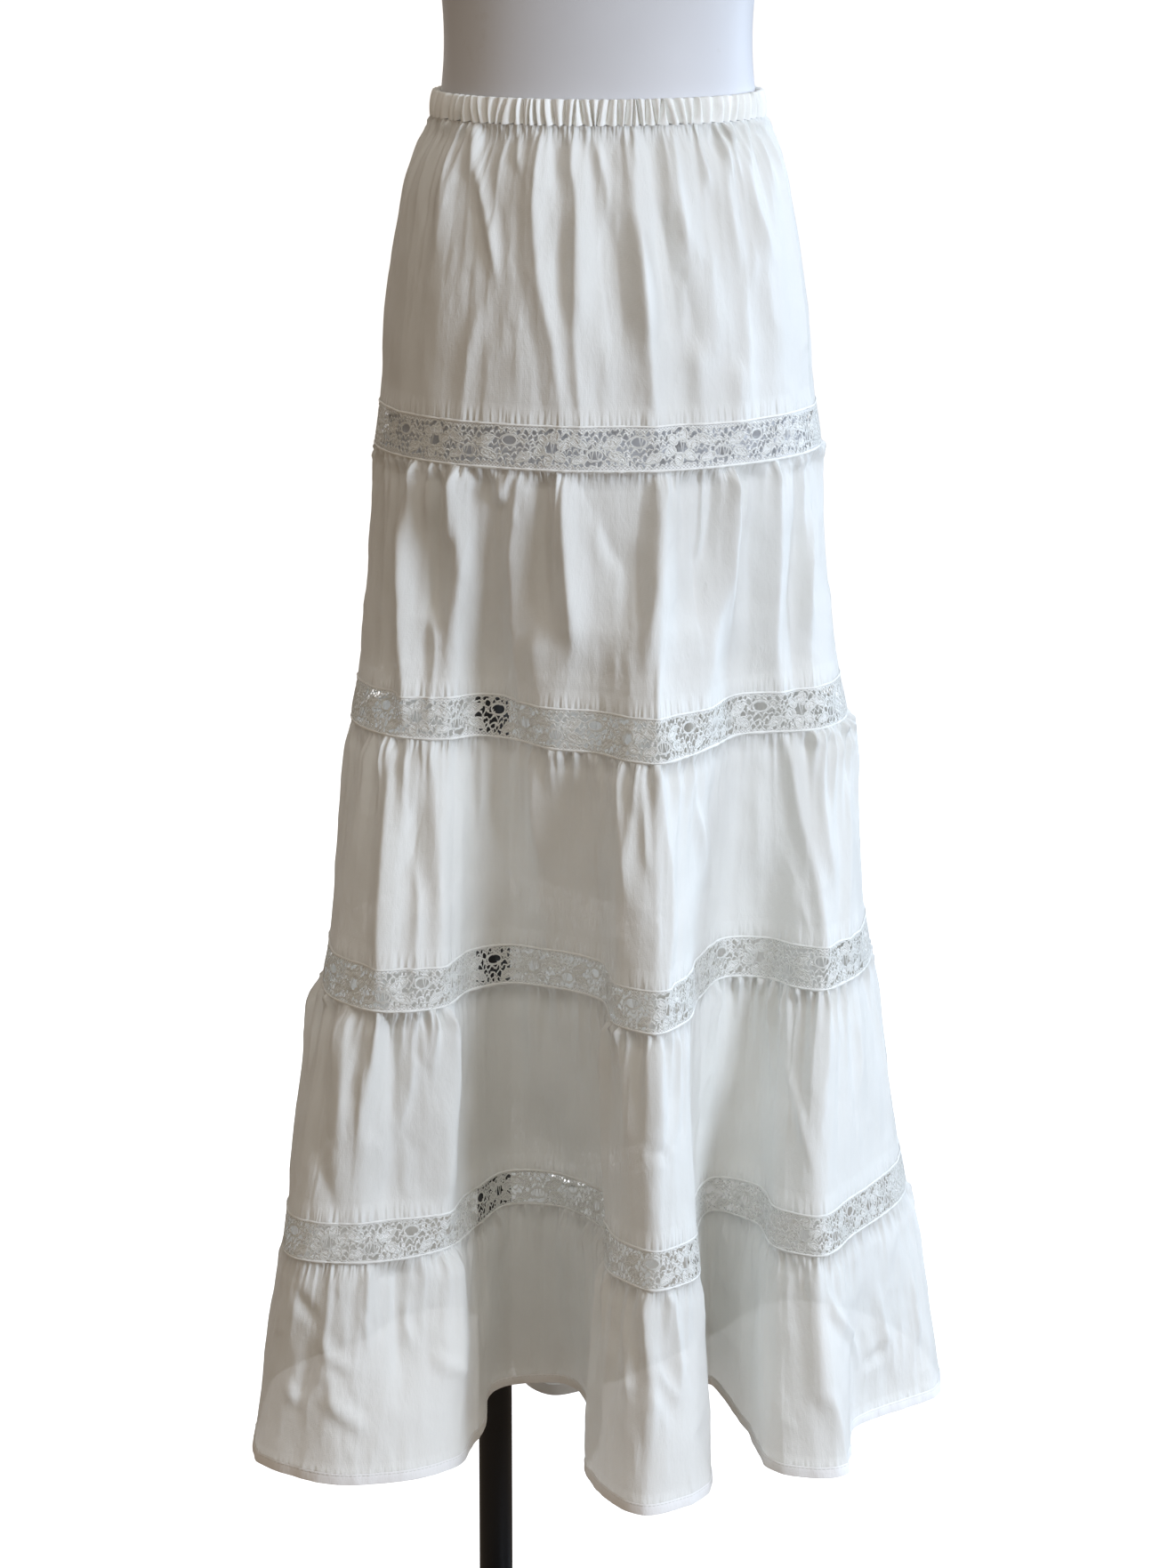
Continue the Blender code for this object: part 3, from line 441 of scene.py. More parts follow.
class Cloth:
    """A closed band of cloth between two drops, as a grid of points that things are placed on."""

    STEPS_A_LINE = 60  # places worked out from one fold line to the next, to measure the length round

    def __init__(self, top, bottom, spacing, drops):
        self.drops = np.asarray(drops)
        self.down = self.drops - self.drops[0]
        self.fine = np.linspace(0, len(FOLD_LINES), len(FOLD_LINES) * self.STEPS_A_LINE + 1)
        middle = plan_curve(top + 0.5 * (bottom - top), self.fine)
        steps = np.linalg.norm(np.diff(middle, axis=0), axis=1)
        self.run = np.concatenate([[0.0], np.cumsum(steps)])
        self.length = self.run[-1]
        self.columns = int(self.length / spacing)
        self.across = np.linspace(0.0, self.length, self.columns + 1)
        self.lines = np.interp(self.across, self.run, self.fine)
        plan = np.array([plan_curve(drop, self.lines[:-1]) for drop in self.drops])
        height = np.array([WAIST_TOP - drop - back_hang(self.lines[:-1], drop) for drop in self.drops])
        along = np.roll(plan, -1, axis=1) - np.roll(plan, 1, axis=1)
        length = np.linalg.norm(along, axis=-1, keepdims=True)
        along = along / length
        self.normals = np.stack([along[..., 1], -along[..., 0], np.zeros(along.shape[:2])], axis=-1)
        self.base = np.concatenate([plan, height[..., None]], axis=-1)
        before, after = np.roll(along, 1, axis=1), np.roll(along, -1, axis=1)
        turning = before[..., 0] * after[..., 1] - before[..., 1] * after[..., 0]
        self.bend = turning / length[..., 0]  # one over the radius, negative where it bends in

    def shape(self, out):
        """Moves the cloth off its plan curve, held back where it would meet itself in a bend."""
        limit = BEND_ROOM / np.maximum(np.abs(self.bend), 1.0)
        inside = np.sign(out) != np.sign(self.bend)
        self.out = np.where(inside, limit * np.tanh(out / limit), out)
        self.points = self.base + self.normals * self.out[..., None]

    def across_of(self, line):
        """Distance across of a fold line, by its number."""
        return np.interp(line, self.fine, self.run)

    def seams(self):
        """The side seams, and where the first one comes round again, as distances across."""
        return [*(self.across_of(line) for line in SIDE_SEAMS), self.length]

    def spaced(self, spacing):
        """Distances across, about that far apart and once round."""
        count = int(self.length / spacing)
        return np.arange(count) * (self.length / count)

    def at(self, across, drop, out):
        """Points of the shaped cloth by distance along it and drop, moved outwards by out."""
        across, drop, out = np.broadcast_arrays(across, drop, out)
        column = (across / self.length * self.columns) % self.columns
        left = np.floor(column).astype(int) % self.columns
        right = (left + 1) % self.columns
        row = np.interp(drop, self.drops, np.arange(len(self.drops)))
        upper = np.clip(np.floor(row).astype(int), 0, len(self.drops) - 2)
        x, y = (column - np.floor(column))[..., None], (row - upper)[..., None]

        def mix(grid):
            high = grid[upper, left] * (1 - x) + grid[upper, right] * x
            low = grid[upper + 1, left] * (1 - x) + grid[upper + 1, right] * x
            return high * (1 - y) + low * y

        return mix(self.points) + mix(self.normals) * out[..., None]

    def path(self, across, drop, out, ring=True):
        """Points of a path on the cloth, the cloth's normals there, and the directions across the path."""
        place = self.at(across, drop, out)
        normal = unit(self.at(across, drop, np.asarray(out) + MM) - place)
        if ring:
            tangent = unit(np.roll(place, -1, axis=0) - np.roll(place, 1, axis=0))
        else:
            tangent = unit(np.gradient(place, axis=0))
        return place, normal, unit(np.cross(normal, tangent))


def ridge(distance, width, round_crest, skew=0.0):
    """A ridge with shallow troughs beside it, one side steeper where it is skewed."""
    share = distance / width
    share = share * (1.0 + skew * np.tanh(share))
    crest = np.exp(RIDGE_FALL * (round_crest - np.sqrt(share**2 + round_crest**2)))
    return crest - TROUGH_DEPTH * np.exp(-((np.abs(share) - TROUGH_PLACE) / TROUGH_WIDTH) ** 2)


def gathers(cloth, height, strength, seed):
    """Ridges that start at the gathered seam and run down, no two alike."""
    random = np.random.default_rng(seed)
    below = cloth.down[:, None]
    out = np.zeros(cloth.base.shape[:2])
    bunched, bunch = GATHER_BUNCHED
    for apart, size, peak, fade in GATHER_SIZES:
        place = 0.0
        while place < cloth.length:
            place += apart * random.uniform(*GATHER_APART)
            tall = size * strength * random.uniform(*GATHER_TALL)
            wide = apart * random.uniform(*GATHER_WIDE)
            lean = random.normal(0.0, GATHER_LEAN)
            skew = random.uniform(-GATHER_SKEW, GATHER_SKEW)
            reach = fade * random.uniform(*GATHER_FADE)
            tall *= 1.0 + bunched * wander(place, cloth.length, bunch, seed + BUNCH_SEED)
            rise = np.clip(below / peak, 0.0, 1.0)
            run = rise * (2.0 - rise) * np.exp(-np.maximum(below - peak, 0.0) / reach)
            near = int((GATHER_REACH * wide + abs(lean) * height) / cloth.length * cloth.columns) + 2
            middle = int(place / cloth.length * cloth.columns)
            columns = np.arange(middle - near, middle + near + 1)
            distance = columns[None, :] * (cloth.length / cloth.columns) - place - lean * below
            shape = ridge(distance, wide * (1.0 + GATHER_WIDEN * below / height), GATHER_CREST, skew)
            out[:, columns % cloth.columns] += tall * run * shape
    return out


FIELD_SHIFT = 0.37  # share of the way from one row of values to the next at which the seam lies


def uneven_field(cloth, across, down, seed):
    """A smooth uneven field from -1 to 1 over the cloth, with places that far apart."""
    columns = max(int(cloth.length / across), 3)
    rows = int(cloth.down[-1] / down) + 3
    values = np.random.default_rng(seed).uniform(-1.0, 1.0, (rows, columns))
    along = between(values, cloth.across[:-1] / cloth.length * columns)
    return between(along.T, cloth.down / down + FIELD_SHIFT).T


def crumples(cloth, seed):
    """Small soft dents with sharp crests between them, all over the cloth."""
    out = np.zeros(cloth.base.shape[:2])
    for number, (across, down, height, sharp) in enumerate(CRUMPLES):
        field = uneven_field(cloth, across, down, seed * 10 + number)
        crests = 0.6 - 2.0 * np.abs(field)  # sharp where the field changes sign
        out += height * ((1.0 - sharp) * field + sharp * crests)
    return out


def crease_paths(name):
    """The paths of one tier's creases, and of their pairs at the back."""
    for width, widen, height, *path in CREASES[name]:
        path = np.array(path).reshape(-1, 2) / (1.0, 100.0)
        yield path, width * MM, widen, height * MM
        if path[:, 0].min() > FRONT_CREASES:
            yield np.stack([BACK_CREASES - path[:, 0], path[:, 1]], axis=1), width * MM, widen, height * MM


def creases(cloth, name, tier_height):
    """The creases of CREASES that lie on one tier."""
    out = np.zeros(cloth.base.shape[:2])
    down = cloth.down[:, None]
    column = cloth.length / cloth.columns
    for path, width, widen, height in crease_paths(name):
        # a crease that starts or ends near a seam runs into it
        fade_in, fade_out = path[0, 1] >= CREASE_STARTS, path[-1, 1] <= CREASE_ENDS
        if not fade_in:
            path[0, 1] = 0.0
        if not fade_out:
            path[-1, 1] = 1.0
        places = np.stack([cloth.across_of(path[:, 0]), path[:, 1] * tier_height], axis=1)
        steps = np.linspace(0, len(path) - 1, CREASE_STEPS * len(path))
        smooth = through([(i, *place) for i, place in enumerate(places)], steps)
        reach = CREASE_REACH * width * max(widen, 1.0)
        first = int((smooth[:, 0].min() - reach) / column)
        columns = np.arange(first, int((smooth[:, 0].max() + reach) / column) + 1)
        across = (columns * column)[None, :]
        nearest = np.full((len(down), len(columns)), 1.0)
        along = np.zeros(nearest.shape)
        for number, (a, b) in enumerate(zip(smooth, smooth[1:])):
            step = b - a
            share = ((across - a[0]) * step[0] + (down - a[1]) * step[1]) / (step @ step)
            share = np.clip(share, 0.0, 1.0)
            distance = np.hypot(across - a[0] - share * step[0], down - a[1] - share * step[1])
            closer = distance < nearest
            nearest = np.where(closer, distance, nearest)
            along = np.where(closer, (number + share) / (len(smooth) - 1), along)
        strength = smoothstep(0.0, CREASE_FADE_IN, along) if fade_in else 1.0
        if fade_out:
            strength = strength * (1.0 - smoothstep(CREASE_FADE_OUT, 1.0, along))
        wide = width * (1.0 + (widen - 1.0) * along)
        out[:, columns % cloth.columns] += height * strength * ridge(nearest, wide, CREASE_CREST)
    return out


def tier_cloth(name):
    """A tier's cloth: gathers, crumples, creases and puff, drawn flatter at its lower seam."""
    top, bottom = SEAM_DROPS[name]
    strength, crumpled, puff, left, rows = TIER_LOOKS[name]
    height, number = bottom - top, TIERS.index(name)
    drops = top + height * np.linspace(0.0, 1.0, rows) ** ROW_CROWDING
    cloth = Cloth(top, bottom, COLUMN_WIDTH, drops)
    below = cloth.down[:, None]
    out = gathers(cloth, height, strength, GATHER_SEED + number)
    out += crumpled * crumples(cloth, CRUMPLE_SEED + number) * smoothstep(0.0, CRUMPLE_START, below)
    out += creases(cloth, name, height) * smoothstep(0.0, CREASE_START, below)
    hold = left + (1.0 - left) * (1.0 - smoothstep(height - 2 * SEAM_HOLD, height, below))
    swell = puff * smoothstep(0.0, PUFF_START, below) * (1.0 - smoothstep(PUFF_END, 1.0, below / height))
    out = out * hold
    out += swell - np.percentile(out, CRESTS_ON_OUTLINE, axis=1)[:, None]
    if name in ON_THE_FORM:
        form = through([row[:3] for row in FORM_SECTIONS], -drops)
        room = (np.min(through(HIP_SECTIONS, drops) - form, axis=1) - FORM_GAP)[:, None]
        out = np.where(out < -room, -room + FORM_GIVE * (out + room), out)
    cloth.shape(out)
    return cloth


LACE_COLUMN, LACE_ROWS = 1.5 * MM, 21  # of the lace's grid
# The lace ripples in waves of several lengths round the skirt: how many, the shortest, how much longer
# each next one is, and their height
RIPPLES, RIPPLE_SHORTEST, RIPPLE_LONGER, RIPPLE_HEIGHT = 6, 17, 9, 0.22 * MM
RIPPLE_SHIFTS = (9.1, 4.7)  # from wave to wave and from band to band, so that they don't line up
RIPPLE_SLANT = 1.5  # radians from the upper seam to the lower one


def lace_cloth(name):
    """A lace band's cloth: small ripples, and the folds of the tier above, which die out in it."""
    number = LACES.index(name)
    top, bottom = SEAM_DROPS[name]
    cloth = Cloth(top, bottom, LACE_COLUMN, np.linspace(top, bottom, LACE_ROWS))
    across = cloth.across[None, :-1]
    down = (cloth.drops - top)[:, None] / (bottom - top)
    ripple = np.zeros(cloth.base.shape[:2])
    for turn in range(RIPPLES):
        waves = round(cloth.length / (MM * (RIPPLE_SHORTEST + RIPPLE_LONGER * turn)))
        phase = math.sin(RIPPLE_SHIFTS[0] * turn + RIPPLE_SHIFTS[1] * number) * math.pi
        place = math.tau * waves * across / cloth.length + phase + RIPPLE_SLANT * down
        ripple += RIPPLE_HEIGHT * np.sin(place)
    tier = cloth_of(TIERS[number])
    above = np.interp(cloth.lines[:-1], tier.lines[:-1], tier.out[-1], period=len(FOLD_LINES))
    cloth.shape(ripple * np.sin(math.pi * down) + above[None, :] * (1.0 - smoothstep(0.0, 1.0, down)))
    return cloth


CLOTHS = {}


def cloth_of(name):
    """The shaped cloth of a tier or lace band, made once."""
    if name not in CLOTHS:
        CLOTHS[name] = tier_cloth(name) if name in TIERS else lace_cloth(name)
    return CLOTHS[name]


# ---- surfaces: one function adds a node, and the finishes are made of it


def node(tree, kind, inputs, output=0, **settings):
    """Adds one node, sets each input to a value or links it from an output, and gives one output."""
    made = tree.nodes.new(f"ShaderNode{kind}")
    for name, value in settings.items():
        setattr(made, name, value)
    for name, value in inputs.items():
        if isinstance(value, bpy.types.NodeSocket):
            tree.links.new(value, made.inputs[name])
        else:
            made.inputs[name].default_value = (*value, 1.0) if made.inputs[name].type == "RGBA" else value
    return made.outputs[output] if made.outputs else None


def cotton(tree, colour, shade, seen_through, glow, puckered=False):
    """Cotton lawn: a fine plain weave, washed and not pressed, a little sheer where it is single.

    The eye gets a soft matt white with fine upright crinkles, a slight sheen at grazing angles, and
    light that comes through from behind, as much as glow says.
    """
    place = node(tree, "TexCoord", {}, "UV")
    # the weave has about 30 threads to the centimetre, drawn at 1.1 mm so that it shows at all; a wave
    # texture repeats 20 / tau times in each unit of its place
    weave = [
        node(tree, "TexWave", {"Vector": place, "Scale": 1.0 / (1.1 * MM) * math.tau / 20.0,
                               "Distortion": 1.5, "Detail": 1.0, "Detail Scale": 0.6},
             1, bands_direction=way)
        for way in ("X", "Y")
    ]
    cross = node(tree, "Math", {0: weave[0], 1: weave[1]}, operation="MULTIPLY")
    normal = node(tree, "Bump", {"Height": cross, "Distance": 0.05 * MM, "Strength": 0.5})
    # crinkles: about 4 mm apart across the cloth and 11 mm long down it
    drawn = node(tree, "Mapping", {"Vector": place, "Scale": (1.0 / (4 * MM), 1.0 / (11 * MM), 1.0)})
    crinkle = node(tree, "TexNoise", {"Vector": drawn, "Scale": 1.0, "Detail": 4.0, "Roughness": 0.65,
                                      "Distortion": 0.3})
    normal = node(tree, "Bump", {"Height": crinkle, "Distance": 0.7 * MM, "Strength": 0.8,
                                 "Normal": normal})
    # sharp small creases of washed cloth, about 20 mm apart, more of them in some places than in others
    slant = node(tree, "Mapping", {"Vector": place, "Rotation": (0.0, 0.0, 0.25),
                                   "Scale": (1.0 / (19 * MM), 1.0 / (34 * MM), 1.0)})
    sharp = node(tree, "TexNoise", {"Vector": slant, "Scale": 1.0, "Detail": 2.0, "Roughness": 0.45,
                                    "Distortion": 0.6}, noise_type="RIDGED_MULTIFRACTAL")
    places = node(tree, "TexNoise", {"Vector": place, "Scale": 1.0 / (110 * MM), "Detail": 1.0})
    most = node(tree, "MapRange", {"Value": places, "From Min": 0.42, "From Max": 0.62,
                                   "To Min": 0.15, "To Max": 1.0})
    creased = node(tree, "Math", {0: sharp, 1: most}, operation="MULTIPLY")
    normal = node(tree, "Bump", {"Height": creased, "Distance": 2.2 * MM, "Strength": 0.9,
                                 "Normal": normal})
    if puckered:
        # the small puckers that the stitches draw up, about 5 mm apart, on the last 16 mm before a seam
        seam = node(tree, "UVMap", {}, uv_map="from_seam")
        away = node(tree, "SeparateXYZ", {0: seam}, 1)
        near = node(tree, "MapRange", {"Value": away, "From Min": -16 * MM, "From Max": -1 * MM,
                                       "To Min": 0.0, "To Max": 1.0}, interpolation_type="SMOOTHSTEP")
        row = node(tree, "Mapping", {"Vector": seam, "Scale": (1.0 / (4.6 * MM), 1.0 / (40 * MM), 1.0)})
        pucker = node(tree, "TexNoise", {"Vector": row, "Scale": 1.0, "Detail": 1.5})
        drawn_up = node(tree, "Math", {0: pucker, 1: near}, operation="MULTIPLY")
        normal = node(tree, "Bump", {"Height": drawn_up, "Distance": 4.0 * MM, "Strength": 1.0,
                                     "Normal": normal})
    # thick and thin places in the cloth, about 60 mm across
    blotch = node(tree, "TexNoise", {"Vector": place, "Scale": 1.0 / (60 * MM), "Detail": 4.0})
    thickness = node(tree, "Mix", {0: blotch, 6: shade, 7: colour}, 2, data_type="RGBA")
    cloth = node(tree, "BsdfPrincipled", {
        "Base Color": thickness, "Roughness": 0.68, "Specular IOR Level": 0.3, "Sheen Weight": 0.18,
        "Sheen Roughness": 0.45, "Alpha": 1.0 - seen_through, "Normal": normal,
    })
    behind = node(tree, "BsdfTranslucent", {"Color": colour, "Normal": normal})
    return node(tree, "MixShader", {0: glow, 1: cloth, 2: behind})


def lace(tree, colour, mesh_size, least, most):
    """Knitted nylon lace: threads crossing on a slant, wide apart in the net and close in the petals.

    The eye gets a grey veil that shows what is behind it, and whiter petals that hide more. The real
    threads cross every 1 mm or less, and are drawn 1.3 mm apart in the petals and 1.7 mm in the net so
    that they show. least is how much the lace hides between its threads, and most how much on them.
    """
    place = node(tree, "TexCoord", {}, "UV")
    lines = []
    for turn in (0.9, -0.9):
        turned_place = node(tree, "Mapping", {"Vector": place, "Rotation": (0.0, 0.0, turn)})
        lines.append(node(tree, "TexWave", {
            "Vector": turned_place, "Scale": 1.0 / mesh_size * math.tau / 20.0, "Distortion": 0.6,
            "Detail": 1.0, "Detail Scale": 0.5,
        }, 1))
    nearest = node(tree, "Math", {0: lines[0], 1: lines[1]}, operation="MAXIMUM")
    cover = node(tree, "MapRange", {"Value": nearest, "From Min": 0.55, "From Max": 0.95,
                                    "To Min": least, "To Max": most})
    return node(tree, "BsdfPrincipled", {"Base Color": colour, "Roughness": 0.55, "Sheen Weight": 0.15,
                                         "Alpha": cover})


def thread(tree, colour, glow):
    """Twisted thread, in the lace's cords and in the stitches. The eye gets small bright matt ridges."""
    place = node(tree, "TexCoord", {}, "Object")
    twist = node(tree, "TexNoise", {"Vector": place, "Scale": 1.0 / (1.2 * MM), "Detail": 1.0})
    normal = node(tree, "Bump", {"Height": twist, "Distance": 0.08 * MM, "Strength": 0.4})
    cloth = node(tree, "BsdfPrincipled", {"Base Color": colour, "Roughness": 0.5, "Sheen Weight": 0.2,
                                          "Normal": normal})
    behind = node(tree, "BsdfTranslucent", {"Color": colour})
    return node(tree, "MixShader", {0: glow, 1: cloth, 2: behind})


def form_paint(tree, colour, shade, stain):
    """Glass-fibre shell sprayed with matt enamel. The eye gets a smooth cool grey with faint scuffs."""
    place = node(tree, "TexCoord", {}, "Object")
    cloud = node(tree, "TexNoise", {"Vector": place, "Scale": 1.0 / (90 * MM), "Detail": 5.0})
    painted = node(tree, "Mix", {0: cloud, 6: shade, 7: colour}, 2, data_type="RGBA")
    # rubbed places, about 25 mm across and few of them
    rub = node(tree, "TexNoise", {"Vector": place, "Scale": 1.0 / (45 * MM), "Detail": 6.0,
                                  "Roughness": 0.7})
    rubbed = node(tree, "MapRange", {"Value": rub, "From Min": 0.62, "From Max": 0.78,
                                     "To Min": 0.0, "To Max": 0.35})
    coat = node(tree, "Mix", {0: rubbed, 6: painted, 7: stain}, 2, data_type="RGBA")
    rough = node(tree, "MapRange", {"Value": rub, "From Min": 0.3, "From Max": 0.7,
                                    "To Min": 0.46, "To Max": 0.62})
    grain = node(tree, "TexNoise", {"Vector": place, "Scale": 1.0 / (2.5 * MM), "Detail": 2.0})
    normal = node(tree, "Bump", {"Height": grain, "Distance": 0.06 * MM, "Strength": 0.3})
    return node(tree, "BsdfPrincipled", {"Base Color": coat, "Roughness": rough, "IOR": 1.5,
                                         "Normal": normal})


def black_steel(tree, colour, worn):
    """Steel tube and plate with a baked black powder coat. The eye gets a satin black with a fine grain."""
    place = node(tree, "TexCoord", {}, "Object")
    wear = node(tree, "TexNoise", {"Vector": place, "Scale": 1.0 / (70 * MM), "Detail": 4.0})
    coat = node(tree, "Mix", {0: wear, 6: colour, 7: worn}, 2, data_type="RGBA")
    rough = node(tree, "MapRange", {"Value": wear, "From Min": 0.3, "From Max": 0.7,
                                    "To Min": 0.36, "To Max": 0.5})
    grain = node(tree, "TexNoise", {"Vector": place, "Scale": 1.0 / (0.9 * MM), "Detail": 2.0})
    normal = node(tree, "Bump", {"Height": grain, "Distance": 0.05 * MM, "Strength": 0.35})
    return node(tree, "BsdfPrincipled", {"Base Color": coat, "Roughness": rough, "IOR": 1.5,
                                         "Normal": normal})


def paper(tree, shade, colour):
    """The studio's paper. The eye gets an even white that hardly shows where the floor ends."""
    place = node(tree, "TexCoord", {}, "Object")
    cloud = node(tree, "TexNoise", {"Vector": place, "Scale": 1.0 / 1.25, "Detail": 2.0})
    uneven_white = node(tree, "Mix", {0: cloud, 6: shade, 7: colour}, 2, data_type="RGBA")
    return node(tree, "BsdfPrincipled", {"Base Color": uneven_white, "Roughness": 0.9,
                                         "Emission Color": WHITE, "Emission Strength": 0.9})


# Each finish: the function that makes its shader, and the values that this is given, where a name
# stands for one of the colours of SkirtColours
FINISHES = {
    "cotton_lawn": (cotton, "cotton", "cotton_shade", "see_through", 0.11, True),
    "cotton_lawn_doubled": (cotton, "cotton", "cotton", 0.0, 0.03),
    "cotton_lawn_hem": (cotton, "cotton_hem", "cotton_hem", 0.0, 0.0),
    "lace_net_nylon": (lace, "lace", 1.7 * MM, 0.42, 0.92),
    "lace_clothwork_nylon": (lace, "lace", 1.3 * MM, 0.55, 0.95),
    "lace_cord_thread": (thread, "thread", 0.2),
    "sewing_thread": (thread, "thread", 0.1),
    "matt_enamel_form": (form_paint, "form", "form_shade", "form_stain"),
    "powder_coated_steel": (black_steel, "stand", "stand_worn"),
    "pale_paper_floor": (paper, linear("#f4f4f4"), "floor"),
}


def chosen(value):
    """The colour or share of SkirtColours that a name stands for, or else the value itself."""
    return getattr(bpy.context.scene.skirt_colours, value) if isinstance(value, str) else value


def surface(name):
    """A finish by its name, made the first time that it is asked for."""
    if name not in bpy.data.materials:
        made = bpy.data.materials.new(name)
        made.use_nodes = True
        made.node_tree.nodes.clear()
        shader, *values = FINISHES[name]
        node(made.node_tree, "OutputMaterial", {"Surface": shader(made.node_tree, *map(chosen, values))})
    return bpy.data.materials[name]


# ---- sizes and colours that can be changed


def length_property(name, description, default):
    return bpy.props.FloatProperty(name=name, description=description, default=default, min=0.0,
                                   subtype="DISTANCE", unit="LENGTH", precision=5)


def colour_property(name, description, default):
    return bpy.props.FloatVectorProperty(name=name, description=description, default=linear(default),
                                         min=0.0, max=1.0, subtype="COLOR")


class SkirtSizes(bpy.types.PropertyGroup):
    """Sizes of what is sewn on"""

    tape_width: length_property("Seam edge", "Width of the puckered edge along the lace", 1.9 * MM)
    stitch_length: length_property("Stitch length", "Length of one stitch that shows", 2.2 * MM)
    stitch_pitch: length_property("Stitch pitch", "From one stitch to the next", 3.0 * MM)
    hem_depth: length_property("Hem depth", "Depth of the doubled hem", 8.0 * MM)
    cord_width: length_property("Lace cord", "Width of the raised cords of the lace", 1.15 * MM)


class SkirtColours(bpy.types.PropertyGroup):
    """Colours of the finishes"""

    cotton: colour_property("Cotton", "The skirt's cloth", "#f5f6f3")
    cotton_shade: colour_property("Cotton, thin places", "The cloth where it is thinner", "#ebece8")
    cotton_hem: colour_property("Cotton, hem", "The cloth where it lies three times", "#fefefd")
    see_through: bpy.props.FloatProperty(
        name="See-through", description="How much shows through one layer of the cloth", default=0.05,
        min=0.0, max=0.5, subtype="FACTOR")
    lace: colour_property("Lace net", "The lace's ground", "#f4f5f2")
    thread: colour_property("Thread", "Lace cords and stitches", "#ebece8")
    form: colour_property("Form", "The dress form's paint", "#d6d7da")
    form_shade: colour_property("Form, dull places", "The paint where it has dulled", "#cccdd1")
    form_stain: colour_property("Form, rubbed places", "The paint where it is rubbed", "#b9b3a8")
    stand: colour_property("Stand", "The stand's coating", "#0b0b0d")
    stand_worn: colour_property("Stand, worn places", "The coating where hands have rubbed it", "#17171a")
    floor: colour_property("Floor", "The studio floor", "#f7f7f7")
    window_light: colour_property("Window light", "The light from the front and right", "#e0edff")
    side_light: colour_property("Side light", "The cool light on the right side", "#d2e8ff")
    room_light: colour_property("Room light", "The warm light from the left", "#ffe6cf")


# ---- narrow pieces that follow the cloth


def strip_mesh(name, lines, section):
    """Strips along lines on the cloth.

    lines is a list of (points, normals, directions across, whether it is a ring), and section the
    places across each strip, as (share of the direction across, height along the normal).
    """
    points, faces, begin = [], [], 0
    for place, normal, side, ring in lines:
        rows = [place + side * across + normal * up for across, up in section]
        points.append(np.stack(rows, axis=1).reshape(-1, 3))
        number = begin + np.arange(len(points[-1])).reshape(len(place), len(section))
        begin += number.size
        faces.append(strip_quads(np.concatenate([number, number[:1]]) if ring else number))
    return face_mesh(name, np.concatenate(points), np.concatenate(faces))


# A stitch is a small dome: place down the cloth and height of each line of it, and the rise of its middle
STITCH_SECTION = metres((-0.28, 0.0), (0.0, 0.24), (0.28, 0.0))
STITCH_RISE = 0.14 * MM


def stitch_row(cloth, drop, out):
    """The stitches along the cloth at one drop, each with 3 by 3 points."""
    sizes = bpy.context.scene.skirt_sizes
    first = cloth.spaced(sizes.stitch_pitch)
    ends = np.stack([first, first + 0.5 * sizes.stitch_length, first + sizes.stitch_length], axis=1)
    rise = np.array([0.0, STITCH_RISE, 0.0])
    return np.stack([cloth.at(ends, drop + down, out + (rise + up)) for down, up in STITCH_SECTION], axis=2)


def stitches_mesh(name, *rows):
    """One piece of sewing thread from rows of stitches."""
    points = np.concatenate(rows).reshape(-1, 3)
    one = strip_quads(np.arange(9).reshape(3, 3))
    faces = one[None] + np.arange(0, len(points), 9)[:, None, None]
    dress(face_mesh(name, points, faces.reshape(-1, 4)), "sewing_thread", "cotton")


# ---- lace

LACE_REPEAT = 94 * MM
# The widest gaps of one repeat, as in the solids: share along it, height above the middle, half
# length, half height
LACE_GAPS = (
    (0.14, 0.5 * MM, 5.2 * MM, 4.4 * MM),
    (0.47, -4.5 * MM, 5.0 * MM, 3.2 * MM),
    (0.80, 4.8 * MM, 5.0 * MM, 3.2 * MM),
)
GAP_CORD = (0.7 * MM, 0.6 * MM)  # how far outside a gap its own cord runs, along the lace and up it
GAP_CLEAR = (2.5 * MM, 1.0 * MM)  # how far outside it the scrolls pass
SCROLL_ROWS = metres((-12.6, -9.0, -5.4, -1.8, 1.8, 5.4, 9.0, 12.6))[0]
SCROLLS_A_REPEAT = 18
SCROLL_HEIGHT = 3.2 * MM
LENS_LEAST = 3.5 * MM  # where two scrolls are further apart than this, the net between them is left out
LENS_EDGE = 0.5 * MM  # net that is left along each of them
SEAM_FILL = 34 * MM  # on either side of a side seam the cells are filled
# Petals and leaves of close clothwork in one repeat: share along it, height above the middle, half
# length, half width, and how they are turned, in degrees
LACE_PETALS = (
    *((0.14 + 0.096 * math.cos(turn), 8.6 * MM * math.sin(turn), 4.6 * MM, 3.0 * MM, math.degrees(turn))
      for turn in (0.3, 1.35, 2.4, 3.45, 4.5, 5.55)),
    (0.33, 5.0 * MM, 7.0 * MM, 3.0 * MM, -28),
    (0.36, -7.5 * MM, 6.0 * MM, 2.6 * MM, 20),
    (0.60, 4.0 * MM, 7.5 * MM, 3.0 * MM, 24),
    (0.64, -6.0 * MM, 6.5 * MM, 2.8 * MM, -22),
    (0.92, -7.0 * MM, 6.0 * MM, 2.8 * MM, 30),
)
CORD_STEP = 1.5 * MM  # between the points of a scroll
RING_STEPS = 28  # points of the cord round a gap or petal
CORD_HEIGHT, CORD_OUT = 0.35 * MM, 0.35 * MM  # height of a cord, and how far off the net it lies
CORD_EDGE = 1.2 * MM  # no cord comes nearer to the seams


